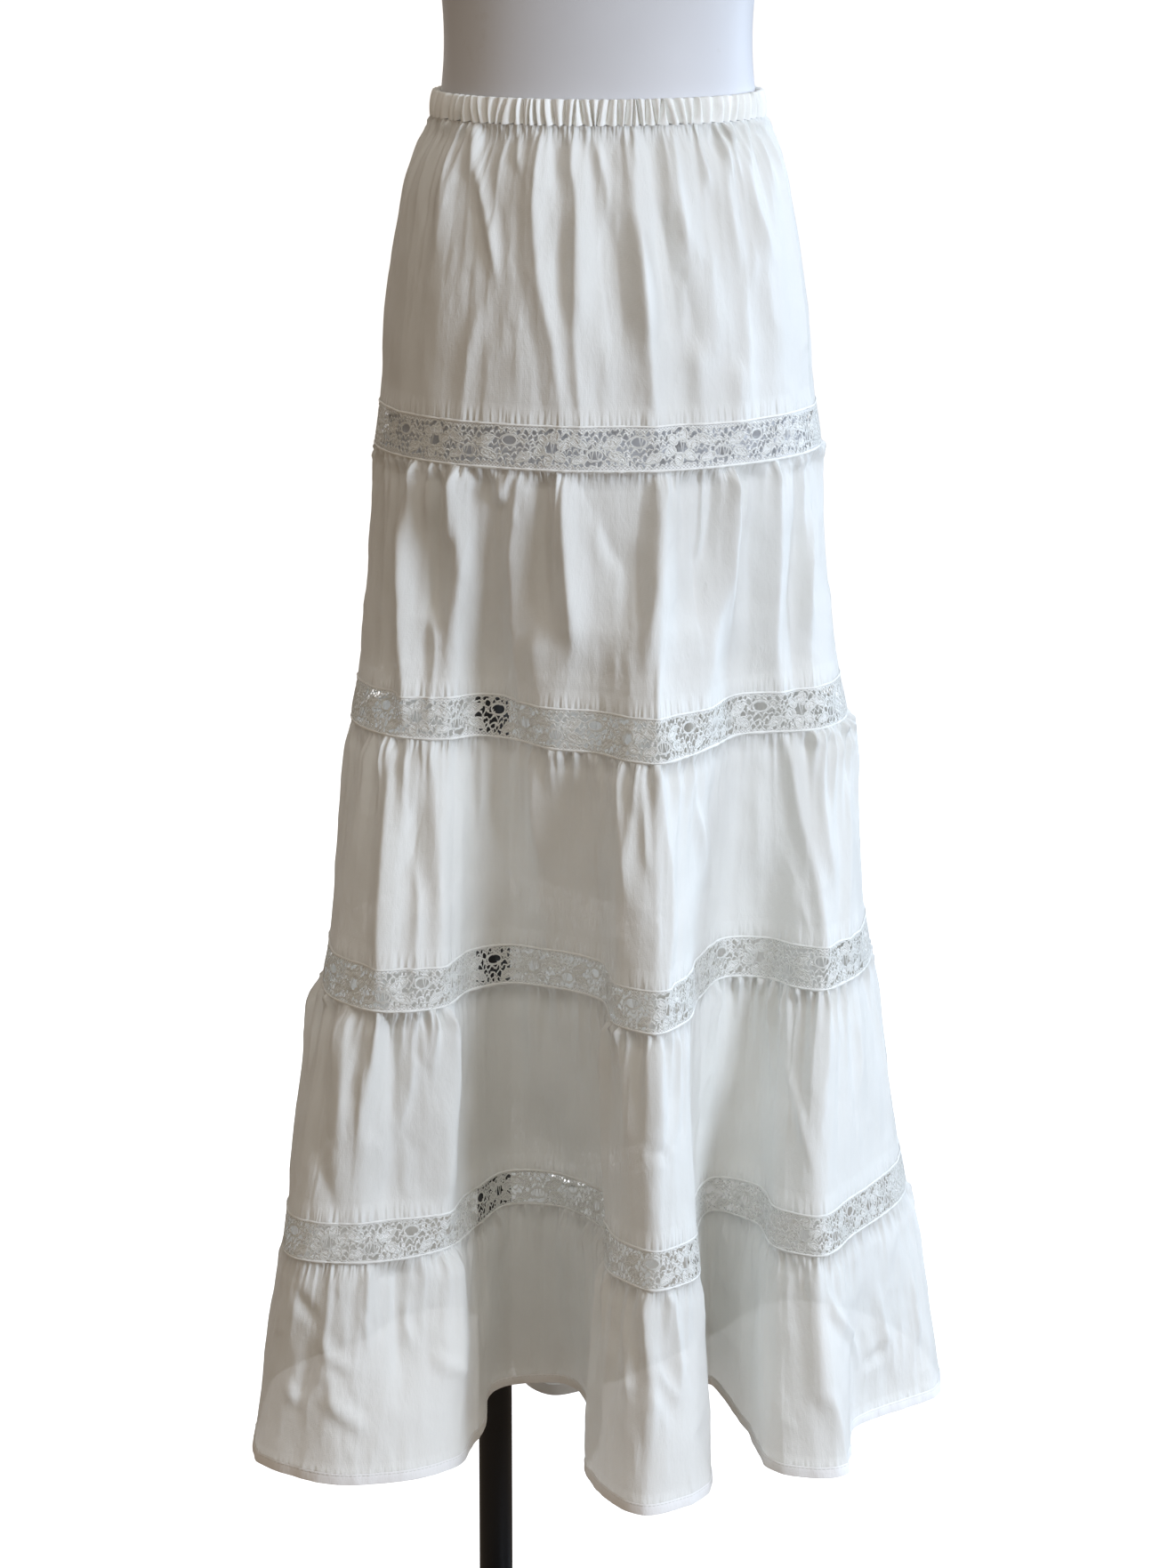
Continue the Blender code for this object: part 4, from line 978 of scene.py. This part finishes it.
def lace_spans(cloth):
    """Each half's start along the band, its repeats, and the length of one."""
    seams = cloth.seams()
    for start, end in zip(seams, seams[1:]):
        repeats = max(round((end - start) / LACE_REPEAT), 1)
        yield start, repeats, (end - start) / repeats


def scroll_height(row, along):
    """Height of one scroll above the middle of the band, at a number of repeats along it."""
    def wave(height, times, shift):
        """A slow wave, times a repeat and shifted from row to row, so that no two scrolls are alike."""
        return height * np.sin(math.tau * (times * along + shift * row))

    lean = wave(0.30, 1, 0.21) + wave(0.22, 3, 0.47) + wave(0.14, 5, 0.83)
    scroll = np.abs(np.sin(math.pi * (SCROLLS_A_REPEAT * along + 0.5 * row + lean)))
    tall = 1.0 + wave(0.35, 4, 0.37)
    return SCROLL_ROWS[row] + wave(1.0 * MM, 2, 0.13) + SCROLL_HEIGHT * tall * (scroll - 0.5)


def round_gaps(share, up, repeat):
    """Moves a cord's height so that it passes round the gaps and not over them."""
    for middle, height, half_length, half_height in LACE_GAPS:
        away = (share - middle) * repeat / (half_length + GAP_CLEAR[0])
        room = (half_height + GAP_CLEAR[1]) * np.sqrt(np.clip(1.0 - away**2, 0.0, 1.0))
        from_gap = up - height
        side = np.where(from_gap >= 0.0, 1.0, -1.0)
        up = np.where(np.abs(from_gap) < room, height + side * room, up)
    return up


def lace_cords(name):
    """The raised cords of one band: scrolls, and round the gaps, petals and leaves of each repeat."""
    top, bottom = SEAM_DROPS[name]
    middle, reach = 0.5 * (top + bottom), 0.5 * (bottom - top) - CORD_EDGE
    cloth = cloth_of(name)
    turn = full_turn(RING_STEPS)
    lines = []

    def add(across, up, ring):
        drop = middle - np.clip(up, -reach, reach)
        lines.append((*cloth.path(across, drop, CORD_OUT, ring), ring))

    def add_ring(across, up, half_length, half_width, lean=0.0):
        x, y = half_length * np.cos(turn), half_width * np.sin(turn)
        cos, sin = math.cos(lean), math.sin(lean)
        add(across + x * cos - y * sin, up + x * sin + y * cos, True)

    for start, repeats, repeat in lace_spans(cloth):
        along = np.linspace(0.0, repeats, int(repeats * repeat / CORD_STEP))
        for row in range(len(SCROLL_ROWS)):
            add(start + along * repeat, round_gaps(along % 1.0, scroll_height(row, along), repeat), False)
        for number in range(repeats):
            for share, height, half_length, half_height in LACE_GAPS:
                add_ring(start + (number + share) * repeat, height, half_length + GAP_CORD[0],
                         half_height + GAP_CORD[1])
            for share, height, half_length, half_width, lean in LACE_PETALS:
                add_ring(start + number * repeat + share * repeat, height, half_length, half_width,
                         math.radians(lean))
    width = 0.5 * bpy.context.scene.skirt_sizes.cord_width
    return strip_mesh(f"{name}_cords", lines, ((-width, 0.0), (0.0, CORD_HEIGHT), (width, 0.0)))


def lace_ground(name):
    """The net of one band, with its widest gaps left open and its petals marked as clothwork."""
    top, bottom = SEAM_DROPS[name]
    cloth = cloth_of(name)
    made = grid_mesh(f"{name}_net", cloth.points, cloth.across, cloth_metres=cloth.down)
    across = 0.5 * (cloth.across[:-1] + cloth.across[1:])
    up = (0.5 * (top + bottom) - 0.5 * (cloth.drops[:-1] + cloth.drops[1:]))[:, None]
    gaps = np.zeros((len(up), len(across)), bool)
    open_cells, close_cells = gaps.copy(), gaps.copy()
    for start, repeats, repeat in lace_spans(cloth):
        inside = (across >= start) & (across < start + repeats * repeat)
        share = ((across - start) / repeat) % 1.0
        for middle, height, half_length, half_height in LACE_GAPS:
            x, y = (share - middle) * repeat / half_length, (up - height) / half_height
            gaps |= inside & (x**2 + y**2 < 1.0)
        for row in range(len(SCROLL_ROWS) - 1):
            low, high = scroll_height(row, share), scroll_height(row + 1, share)
            between = (up > low + LENS_EDGE) & (up < high - LENS_EDGE)
            open_cells |= inside & (high - low > LENS_LEAST) & between
        for middle, height, half_length, half_width, turn in LACE_PETALS:
            cos, sin = math.cos(math.radians(turn)), math.sin(math.radians(turn))
            x, y = (share * repeat - middle * repeat + 0.5 * repeat) % repeat - 0.5 * repeat, up - height
            far, wide = (x * cos + y * sin) / half_length, (y * cos - x * sin) / half_width
            close_cells |= inside & (far**2 + wide**2 < 1.0)
    # towards the side seams the lace is seen doubled, and its cells are left filled
    to_seam = np.min([np.abs(across - seam) for seam in cloth.seams()], axis=0)
    close_cells &= ~gaps
    open_cells = (open_cells | gaps) & (to_seam > SEAM_FILL) & ~close_cells
    made.data.polygons.foreach_set("material_index", close_cells.ravel().astype(np.int32))
    mesh = bmesh.new()
    mesh.from_mesh(made.data)
    mesh.faces.ensure_lookup_table()
    gone = [mesh.faces[i] for i in np.flatnonzero(open_cells)]
    bmesh.ops.delete(mesh, geom=gone, context="FACES")
    mesh.to_mesh(made.data)
    mesh.free()
    return made


# ---- form and stand

FORM_GRID = (110, 112)  # rows and columns
TURNED_SIDES = 96
EDGE_STEPS = 5  # points round a rounded edge
FLAT_START = 3  # the flat beside it begins this many times its radius in from the side
CORE = 0.02 * MM  # how near the middle the top and the underside begin
POINT = 1e-3  # what is left of the form's first and last ring where it closes, as a share
# Lower and upper edge of each turned piece, rounded off by this much
STAND_BEVELS = {
    "base_disc": (0.6 * MM, 3 * MM), "foot_collar": (0.5 * MM, 2 * MM),
    "pole": (0.2 * MM, 0.2 * MM), "pole_socket": (1.5 * MM, 0.4 * MM),
}
PLATE_BEVELS = (1 * MM, 2 * MM)


def turned(name, node_name, bevel_low, bevel_high):
    """A round piece with rounded edges, in the place of a solid."""
    low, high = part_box(node_name)
    middle, radius = (low + high) / 2, (high.x - low.x) / 2
    quarter = np.linspace(0.0, 0.5 * math.pi, EDGE_STEPS)
    sin, cos = 1 - np.sin(quarter), 1 - np.cos(quarter)
    profile = [
        (CORE, high.z), (radius - FLAT_START * bevel_high, high.z),
        *zip(radius - bevel_high * sin, high.z - bevel_high * cos),
        *zip(radius - bevel_low * cos, low.z + bevel_low * sin),
        (radius - FLAT_START * bevel_low, low.z), (CORE, low.z),
    ]
    rows = round_rows([(r, r, -middle.y, z) for r, z in profile], full_turn(TURNED_SIDES))
    return grid_mesh(name, rows + (middle.x, 0.0, 0.0))


# ---- the operators, one for each group of pieces


class SKIRT_OT_form(bpy.types.Operator):
    """Builds the torso form and the plate on its neck"""
    bl_idname = "skirt.form"
    bl_label = "Dress form"

    def execute(self, context):
        heights = np.linspace(FORM_SECTIONS[0][0], FORM_SECTIONS[-1][0], FORM_GRID[0])
        sections = np.column_stack([through(FORM_SECTIONS, heights), WAIST_TOP + heights])
        points = round_rows(sections, full_turn(FORM_GRID[1]))[::-1]
        closed = [end.mean(axis=0) + (end - end.mean(axis=0)) * POINT for end in (points[0], points[-1])]
        torso = grid_mesh("form_torso", np.concatenate([closed[:1], points, closed[1:]]))
        dress(torso, "matt_enamel_form", "form", "dress_form")
        plate = turned("form_neck_plate", "neck_plate", *PLATE_BEVELS)
        dress(plate, "matt_enamel_form", "form", "neck_plate")
        return {"FINISHED"}


class SKIRT_OT_stand(bpy.types.Operator):
    """Builds the base, its collar, the pole and the socket under the form"""
    bl_idname = "skirt.stand"
    bl_label = "Stand"

    def execute(self, context):
        for name, bevels in STAND_BEVELS.items():
            dress(turned(f"stand_{name}", name, *bevels), "powder_coated_steel", "metal", name)
        return {"FINISHED"}


WAIST_PLEATS, WAIST_COLUMNS = 96, 13  # pleats round the waist, and columns of the grid in each
WAIST_CUT = (0.94, 0.048)  # the band's length and height before it was folded and gathered
PLEAT_DEPTH = 8.0 * MM
PLEAT_SEED = 5
PLEAT_SPREAD = 0.13  # how much wider the pleats are at the sides than at the front
# No two pleats are alike: ranges of width and height, as shares, of slant in pleats, and of where the
# crest stands, as a share of the pleat's width
PLEAT_WIDE, PLEAT_TALL, PLEAT_SLANT, PLEAT_CREST = (0.65, 1.35), (0.55, 1.25), (-0.36, 0.36), (0.24, 0.76)
PLEAT_INSIDE = 0.75  # share of a pleat's depth that lies inside the band's own line
PLEAT_SCALLOP = 1.3 * MM  # how far a pleat stands over the band's edges
SCALLOP_TOP, SCALLOP_FOOT = (0.0, 0.35), (0.75, 1.0)  # shares of the way down the band between which it turns
# Inside, the band runs up the form and over its top edge: drop and distance from the form, in
# millimetres, and how deep the pleats are there, as a share
BAND_INSIDE = ((18.5, 0.9, 0.1), (16.0, 0.9, 0.1), (13.0, 0.9, 0.1), (9.5, 0.9, 0.1), (6.0, 0.9, 0.1),
               (3.0, 1.0, 0.15), (1.0, 1.6, 0.3), (0.2, 2.8, 0.4))
BAND_ROWS, BAND_START = 19, 0.3 * MM  # rows down the outside, and the drop of the first one
BAND_BULGE = 1.2 * MM  # how far its middle stands out
BAND_EDGE_PLEATS, BAND_FULLNESS = 0.6, 0.6  # how deep the pleats are at its edges, as a share, and how
# soon they get deeper from there, as a power


class SKIRT_OT_waistband(bpy.types.Operator):
    """Gathers the waistband over its elastic"""
    bl_idname = "skirt.waistband"
    bl_label = "Waistband"

    def execute(self, context):
        band_drop = SEAM_DROPS["tier_1"][0]
        random = np.random.default_rng(PLEAT_SEED)
        widths = random.uniform(*PLEAT_WIDE, WAIST_PLEATS)
        tall = random.uniform(*PLEAT_TALL, (2, WAIST_PLEATS))
        slant = random.uniform(*PLEAT_SLANT, WAIST_PLEATS)
        crest = random.uniform(*PLEAT_CREST, WAIST_PLEATS)[:, None]
        valleys = np.cumsum(widths) / widths.sum()
        share = (np.arange(WAIST_COLUMNS) + 0.5) / WAIST_COLUMNS
        # each pleat leans over its neighbour, one way or the other, and has a deep sharp line beside it
        up = np.minimum(share / crest, (1.0 - share) / (1.0 - crest))
        hump = 1.0 - (1.0 - up) ** 2.0
        # from inside against the form, over the top edge, and down the outside to the seam
        form = [row[:3] for row in FORM_SECTIONS]
        rows = [(drop * MM, through(form, -drop * MM)[0] + gap * MM, strength, 0.0)
                for drop, gap, strength in BAND_INSIDE]
        for down in np.linspace(0.0, 1.0, BAND_ROWS):
            drop, arch = BAND_START + down * (band_drop - BAND_START), math.sin(math.pi * down)
            strength = BAND_EDGE_PLEATS + (1.0 - BAND_EDGE_PLEATS) * arch**BAND_FULLNESS
            rows.append((drop, through(HIP_SECTIONS, drop)[0] + BAND_BULGE * arch, strength, down))
        points = []
        for drop, half, strength, down in rows:
            # the valleys slant this way and that, so a pleat is wider at one end than at the other
            edges = valleys + slant * (2.0 * down - 1.0) / WAIST_PLEATS
            before = np.roll(edges, 1) - (np.arange(WAIST_PLEATS) == 0)
            place = (before[:, None] + (edges - before)[:, None] * share).ravel()
            height = tall[0] * (1.0 - down) + tall[1] * down
            pleats = (height[:, None] * (hump - PLEAT_INSIDE)).ravel()
            edge = 1.0 - smoothstep(*SCALLOP_TOP, down) - smoothstep(*SCALLOP_FOOT, down)
            level = WAIST_TOP - drop + PLEAT_SCALLOP * pleats * edge
            turn = place * math.tau - PLEAT_SPREAD * np.sin(2.0 * place * math.tau)
            out = PLEAT_DEPTH * strength * pleats
            points.append(round_rows([(half[0] + out, half[1] + out, 0.0, level)], turn)[0])
        run = np.linspace(0.0, 2.0 * band_drop, len(points))
        around = np.linspace(0.0, WAIST_CUT[0], WAIST_PLEATS * WAIST_COLUMNS + 1)
        band = grid_mesh("waistband_casing", np.array(points), around, cloth_metres=run)
        dress(band, "cotton_lawn_doubled", "cotton", "waistband")
        return {"FINISHED"}


class SKIRT_OT_tiers(bpy.types.Operator):
    """Gathers the five tiers and hangs them in their folds"""
    bl_idname = "skirt.tiers"
    bl_label = "Tiers"

    def execute(self, context):
        for name in TIERS:
            cloth = cloth_of(name)
            to_seam = np.minimum(cloth.down, cloth.down[-1] - cloth.down)
            made = grid_mesh(f"{name}_cloth", cloth.points, cloth.across, cloth_metres=cloth.down,
                             from_seam=to_seam)
            dress(made, "cotton_lawn", "cotton", f"{name}_front", f"{name}_back")
        return {"FINISHED"}


class SKIRT_OT_lace(bpy.types.Operator):
    """Sets the lace bands between the tiers"""
    bl_idname = "skirt.lace"
    bl_label = "Lace bands"

    def execute(self, context):
        for name in LACES:
            ground = dress(lace_ground(name), "lace_net_nylon", "lace", f"{name}_front", f"{name}_back")
            ground.data.materials.append(surface("lace_clothwork_nylon"))
            dress(lace_cords(name), "lace_cord_thread", "lace")
        return {"FINISHED"}


SEAM_STEP = 1.2 * MM  # between the points along a seam
SEAM_OUT = 0.25 * MM
# The edge sewn over the lace: share of half its width, height
SEAM_SECTION = ((-1.0, 0.0), (-0.7, 0.5 * MM), (0.0, 0.75 * MM), (0.7, 0.5 * MM), (1.0, 0.0))
PUCKER_APART = 4.5 * MM
PUCKERS = (0.22, 0.42)  # how uneven the edge is at the lace's upper and lower seam, as a share
LOWER_SEED = 20  # what the lower seams' random numbers start from
STITCH_OUT = 0.95 * MM


class SKIRT_OT_seams(bpy.types.Operator):
    """Sews the puckered edges along the lace, with their stitches"""
    bl_idname = "skirt.seams"
    bl_label = "Seams along the lace"

    def execute(self, context):
        half = 0.5 * context.scene.skirt_sizes.tape_width
        for number, name in enumerate(LACES):
            cloth, lines = cloth_of(name), []
            for drop, seed, pucker in zip(SEAM_DROPS[name], (number, number + LOWER_SEED), PUCKERS):
                across = cloth.spaced(SEAM_STEP)
                place, normal, side = cloth.path(across, drop, 0.0)
                lift = (1.0 + pucker * wander(across, cloth.length, PUCKER_APART, seed))[:, None]
                lines.append((place + normal * SEAM_OUT, normal * lift, side * (half * lift), True))
            edges = strip_mesh(f"{name}_seam_edges", lines, SEAM_SECTION)
            dress(edges, "cotton_lawn_doubled", "cotton")
            rows = [stitch_row(cloth, drop, STITCH_OUT) for drop in SEAM_DROPS[name]]
            stitches_mesh(f"{name}_stitches", *rows)
        return {"FINISHED"}


HEM_STEP = 1.8 * MM  # between the points along the hem
# The turned edge from its upper edge outside, round the fold, and up inside: height above the fold as
# a share of the hem's depth and in millimetres, and how far out, in millimetres
HEM_PATH = ((1, 0, 0.10), (1, -0.4, 0.38), (0.5, 0, 0.42), (0, 1.0, 0.42), (0, 0.5, 0.40), (0, 0.15, 0.3),
            (0, 0, 0.1), (0, 0, -0.1), (0, 0.15, -0.3), (0, 0.5, -0.40), (0, 1.0, -0.42),
            (0.5, 0, -0.45), (1, 0, -0.42))
HEM_STITCHES = (1.2 * MM, 0.45 * MM)  # how far below its upper edge they lie, and how far out


class SKIRT_OT_hem(bpy.types.Operator):
    """Turns up the hem and stitches it"""
    bl_idname = "skirt.hem"
    bl_label = "Hem"

    def execute(self, context):
        cloth, bottom = cloth_of("tier_5"), SEAM_DROPS["tier_5"][1]
        depth = context.scene.skirt_sizes.hem_depth
        path = [(depth * share + up * MM, out * MM) for share, up, out in HEM_PATH]
        across = cloth.spaced(HEM_STEP)
        rows = np.array([cloth.at(across, bottom - up, out) for up, out in path])
        run = np.cumsum([0.0] + [math.dist(a, b) for a, b in zip(path, path[1:])])
        hem = grid_mesh("hem_fold", rows, np.append(across, cloth.length), cloth_metres=run)
        dress(hem, "cotton_lawn_hem", "cotton")
        down, out = HEM_STITCHES
        stitches_mesh("hem_stitches", stitch_row(cloth, bottom - depth + down, out))
        return {"FINISHED"}


# The lower edge of each piece is measured as it hangs
EDGE_BAND = 2 * MM  # height of the band of cloth that this edge is measured on


class SKIRT_OT_cuts(bpy.types.Operator):
    """Works out the length of each piece's lower edge as it hangs, and keeps nothing of it"""
    bl_idname = "skirt.cuts"
    bl_label = "Cut sizes"

    def execute(self, context):
        for name, (top, bottom) in SEAM_DROPS.items():
            lower = Cloth(bottom - EDGE_BAND, bottom, EDGE_BAND, [bottom - EDGE_BAND, bottom]).length
        return {"FINISHED"}


FLOOR_RINGS = (0.01, 0.5, 1.0, 2.0, 5.0, 15.0, 60.0)  # radii in metres
# The world's light on the cloth, which the camera doesn't see: it sees white
WORLD_LIGHT, WORLD_STRENGTH = "#ffe6cb", 0.20
# Soft lights, each a bright rectangle: where it stands, the height it is turned to, its size, in
# metres, its power in watts, and its colour or the name of one
LIGHTS = {
    "window": ((2.6, -2.2, 1.75), 0.8, (1.1, 1.7), 94.0, "window_light"),
    "side_window": ((3.1, 1.45, 1.6), 0.8, (1.0, 1.7), 74.0, "side_light"),
    "ceiling": ((0.2, -2.2, 3.3), 0.8, (2.0, 2.0), 23.0, (1.0, 0.98, 0.94)),
    "room": ((-3.0, -1.8, 1.5), 0.8, (1.8, 2.2), 3.2, "room_light"),
    "rear": ((-1.2, 2.8, 2.0), 0.9, (2.0, 2.0), 16.0, WHITE),
}
# The camera explains the run of the level seams in the photograph
PHOTO_HEIGHT, FOCAL_LENGTH = 1763, 5264  # pixels
SENSOR = 36.0
CAMERA_PLACE = (-7.52 * MM, -3.5, WAIST_TOP + 305 * MM)
CAMERA_DOWN = 13.43  # degrees below level
CAMERA_RANGE = (0.1, 200.0)


class SKIRT_OT_studio(bpy.types.Operator):
    """Sets the pale floor, the soft lights and the camera"""
    bl_idname = "skirt.studio"
    bl_label = "Studio"

    def execute(self, context):
        scene = context.scene
        scene.view_settings.view_transform = "Standard"
        rings = round_rows([(r, -r, 0.0, 0.0) for r in FLOOR_RINGS], full_turn(TURNED_SIDES))
        floor = grid_mesh("studio_floor", rings)
        floor.data.materials.append(surface("pale_paper_floor"))
        floor.visible_diffuse = False  # it is paper white in the picture and doesn't light the cloth
        floor.visible_glossy = False

        world = scene.world = bpy.data.worlds.new("soft_studio")
        world.use_nodes = True
        tree = world.node_tree
        tree.nodes.clear()
        lit = node(tree, "Background", {"Color": linear(WORLD_LIGHT), "Strength": WORLD_STRENGTH})
        seen = node(tree, "Background", {"Color": WHITE, "Strength": 1.0})
        seen_by_camera = node(tree, "LightPath", {}, "Is Camera Ray")
        node(tree, "OutputWorld", {"Surface": node(tree, "MixShader", {0: seen_by_camera, 1: lit, 2: seen})})
        for name, settings in LIGHTS.items():
            self.add_light(scene, name, *settings)

        data = bpy.data.cameras.new("camera")
        data.sensor_width = SENSOR
        data.lens = FOCAL_LENGTH * SENSOR / PHOTO_HEIGHT
        data.clip_start, data.clip_end = CAMERA_RANGE
        scene.camera = bpy.data.objects.new("camera", data)
        scene.camera.location = CAMERA_PLACE
        scene.camera.rotation_euler = (math.radians(90.0 - CAMERA_DOWN), 0.0, 0.0)
        scene.collection.objects.link(scene.camera)
        return {"FINISHED"}

    def add_light(self, scene, name, place, aim, size, power, colour):
        data = bpy.data.lights.new(name, "AREA")
        data.shape = "RECTANGLE"
        data.size, data.size_y = size
        data.energy = power
        data.color = tuple(chosen(colour))
        light = bpy.data.objects.new(name, data)
        light.location = place
        light.rotation_mode = "QUATERNION"
        light.rotation_quaternion = (Vector((0.0, 0.0, aim)) - Vector(place)).to_track_quat("-Z", "Y")
        light.visible_camera = False
        scene.collection.objects.link(light)


class SKIRT_PT_panel(bpy.types.Panel):
    """Lists the skirt's sizes, colours and pieces"""
    bl_label = "Tiered skirt"
    bl_space_type = "VIEW_3D"
    bl_region_type = "UI"
    bl_category = "Skirt"

    def draw(self, context):
        for group in (context.scene.skirt_sizes, context.scene.skirt_colours):
            for name in group.__annotations__:
                self.layout.prop(group, name)
        for operator in OPERATORS:
            self.layout.operator(operator.bl_idname)


OPERATORS = (SKIRT_OT_form, SKIRT_OT_stand, SKIRT_OT_waistband, SKIRT_OT_tiers, SKIRT_OT_lace,
             SKIRT_OT_seams, SKIRT_OT_hem, SKIRT_OT_cuts, SKIRT_OT_studio)
CLASSES = (SkirtSizes, SkirtColours, *OPERATORS, SKIRT_PT_panel)


def register():
    for each in CLASSES:
        bpy.utils.register_class(each)
    bpy.types.Scene.skirt_sizes = bpy.props.PointerProperty(type=SkirtSizes)
    bpy.types.Scene.skirt_colours = bpy.props.PointerProperty(type=SkirtColours)


def unregister():
    del bpy.types.Scene.skirt_sizes, bpy.types.Scene.skirt_colours
    for each in reversed(CLASSES):
        bpy.utils.unregister_class(each)


def main():
    register()
    for operator in OPERATORS:
        group, name = operator.bl_idname.split(".")
        getattr(getattr(bpy.ops, group), name)()


if __name__ == "__main__":
    main()
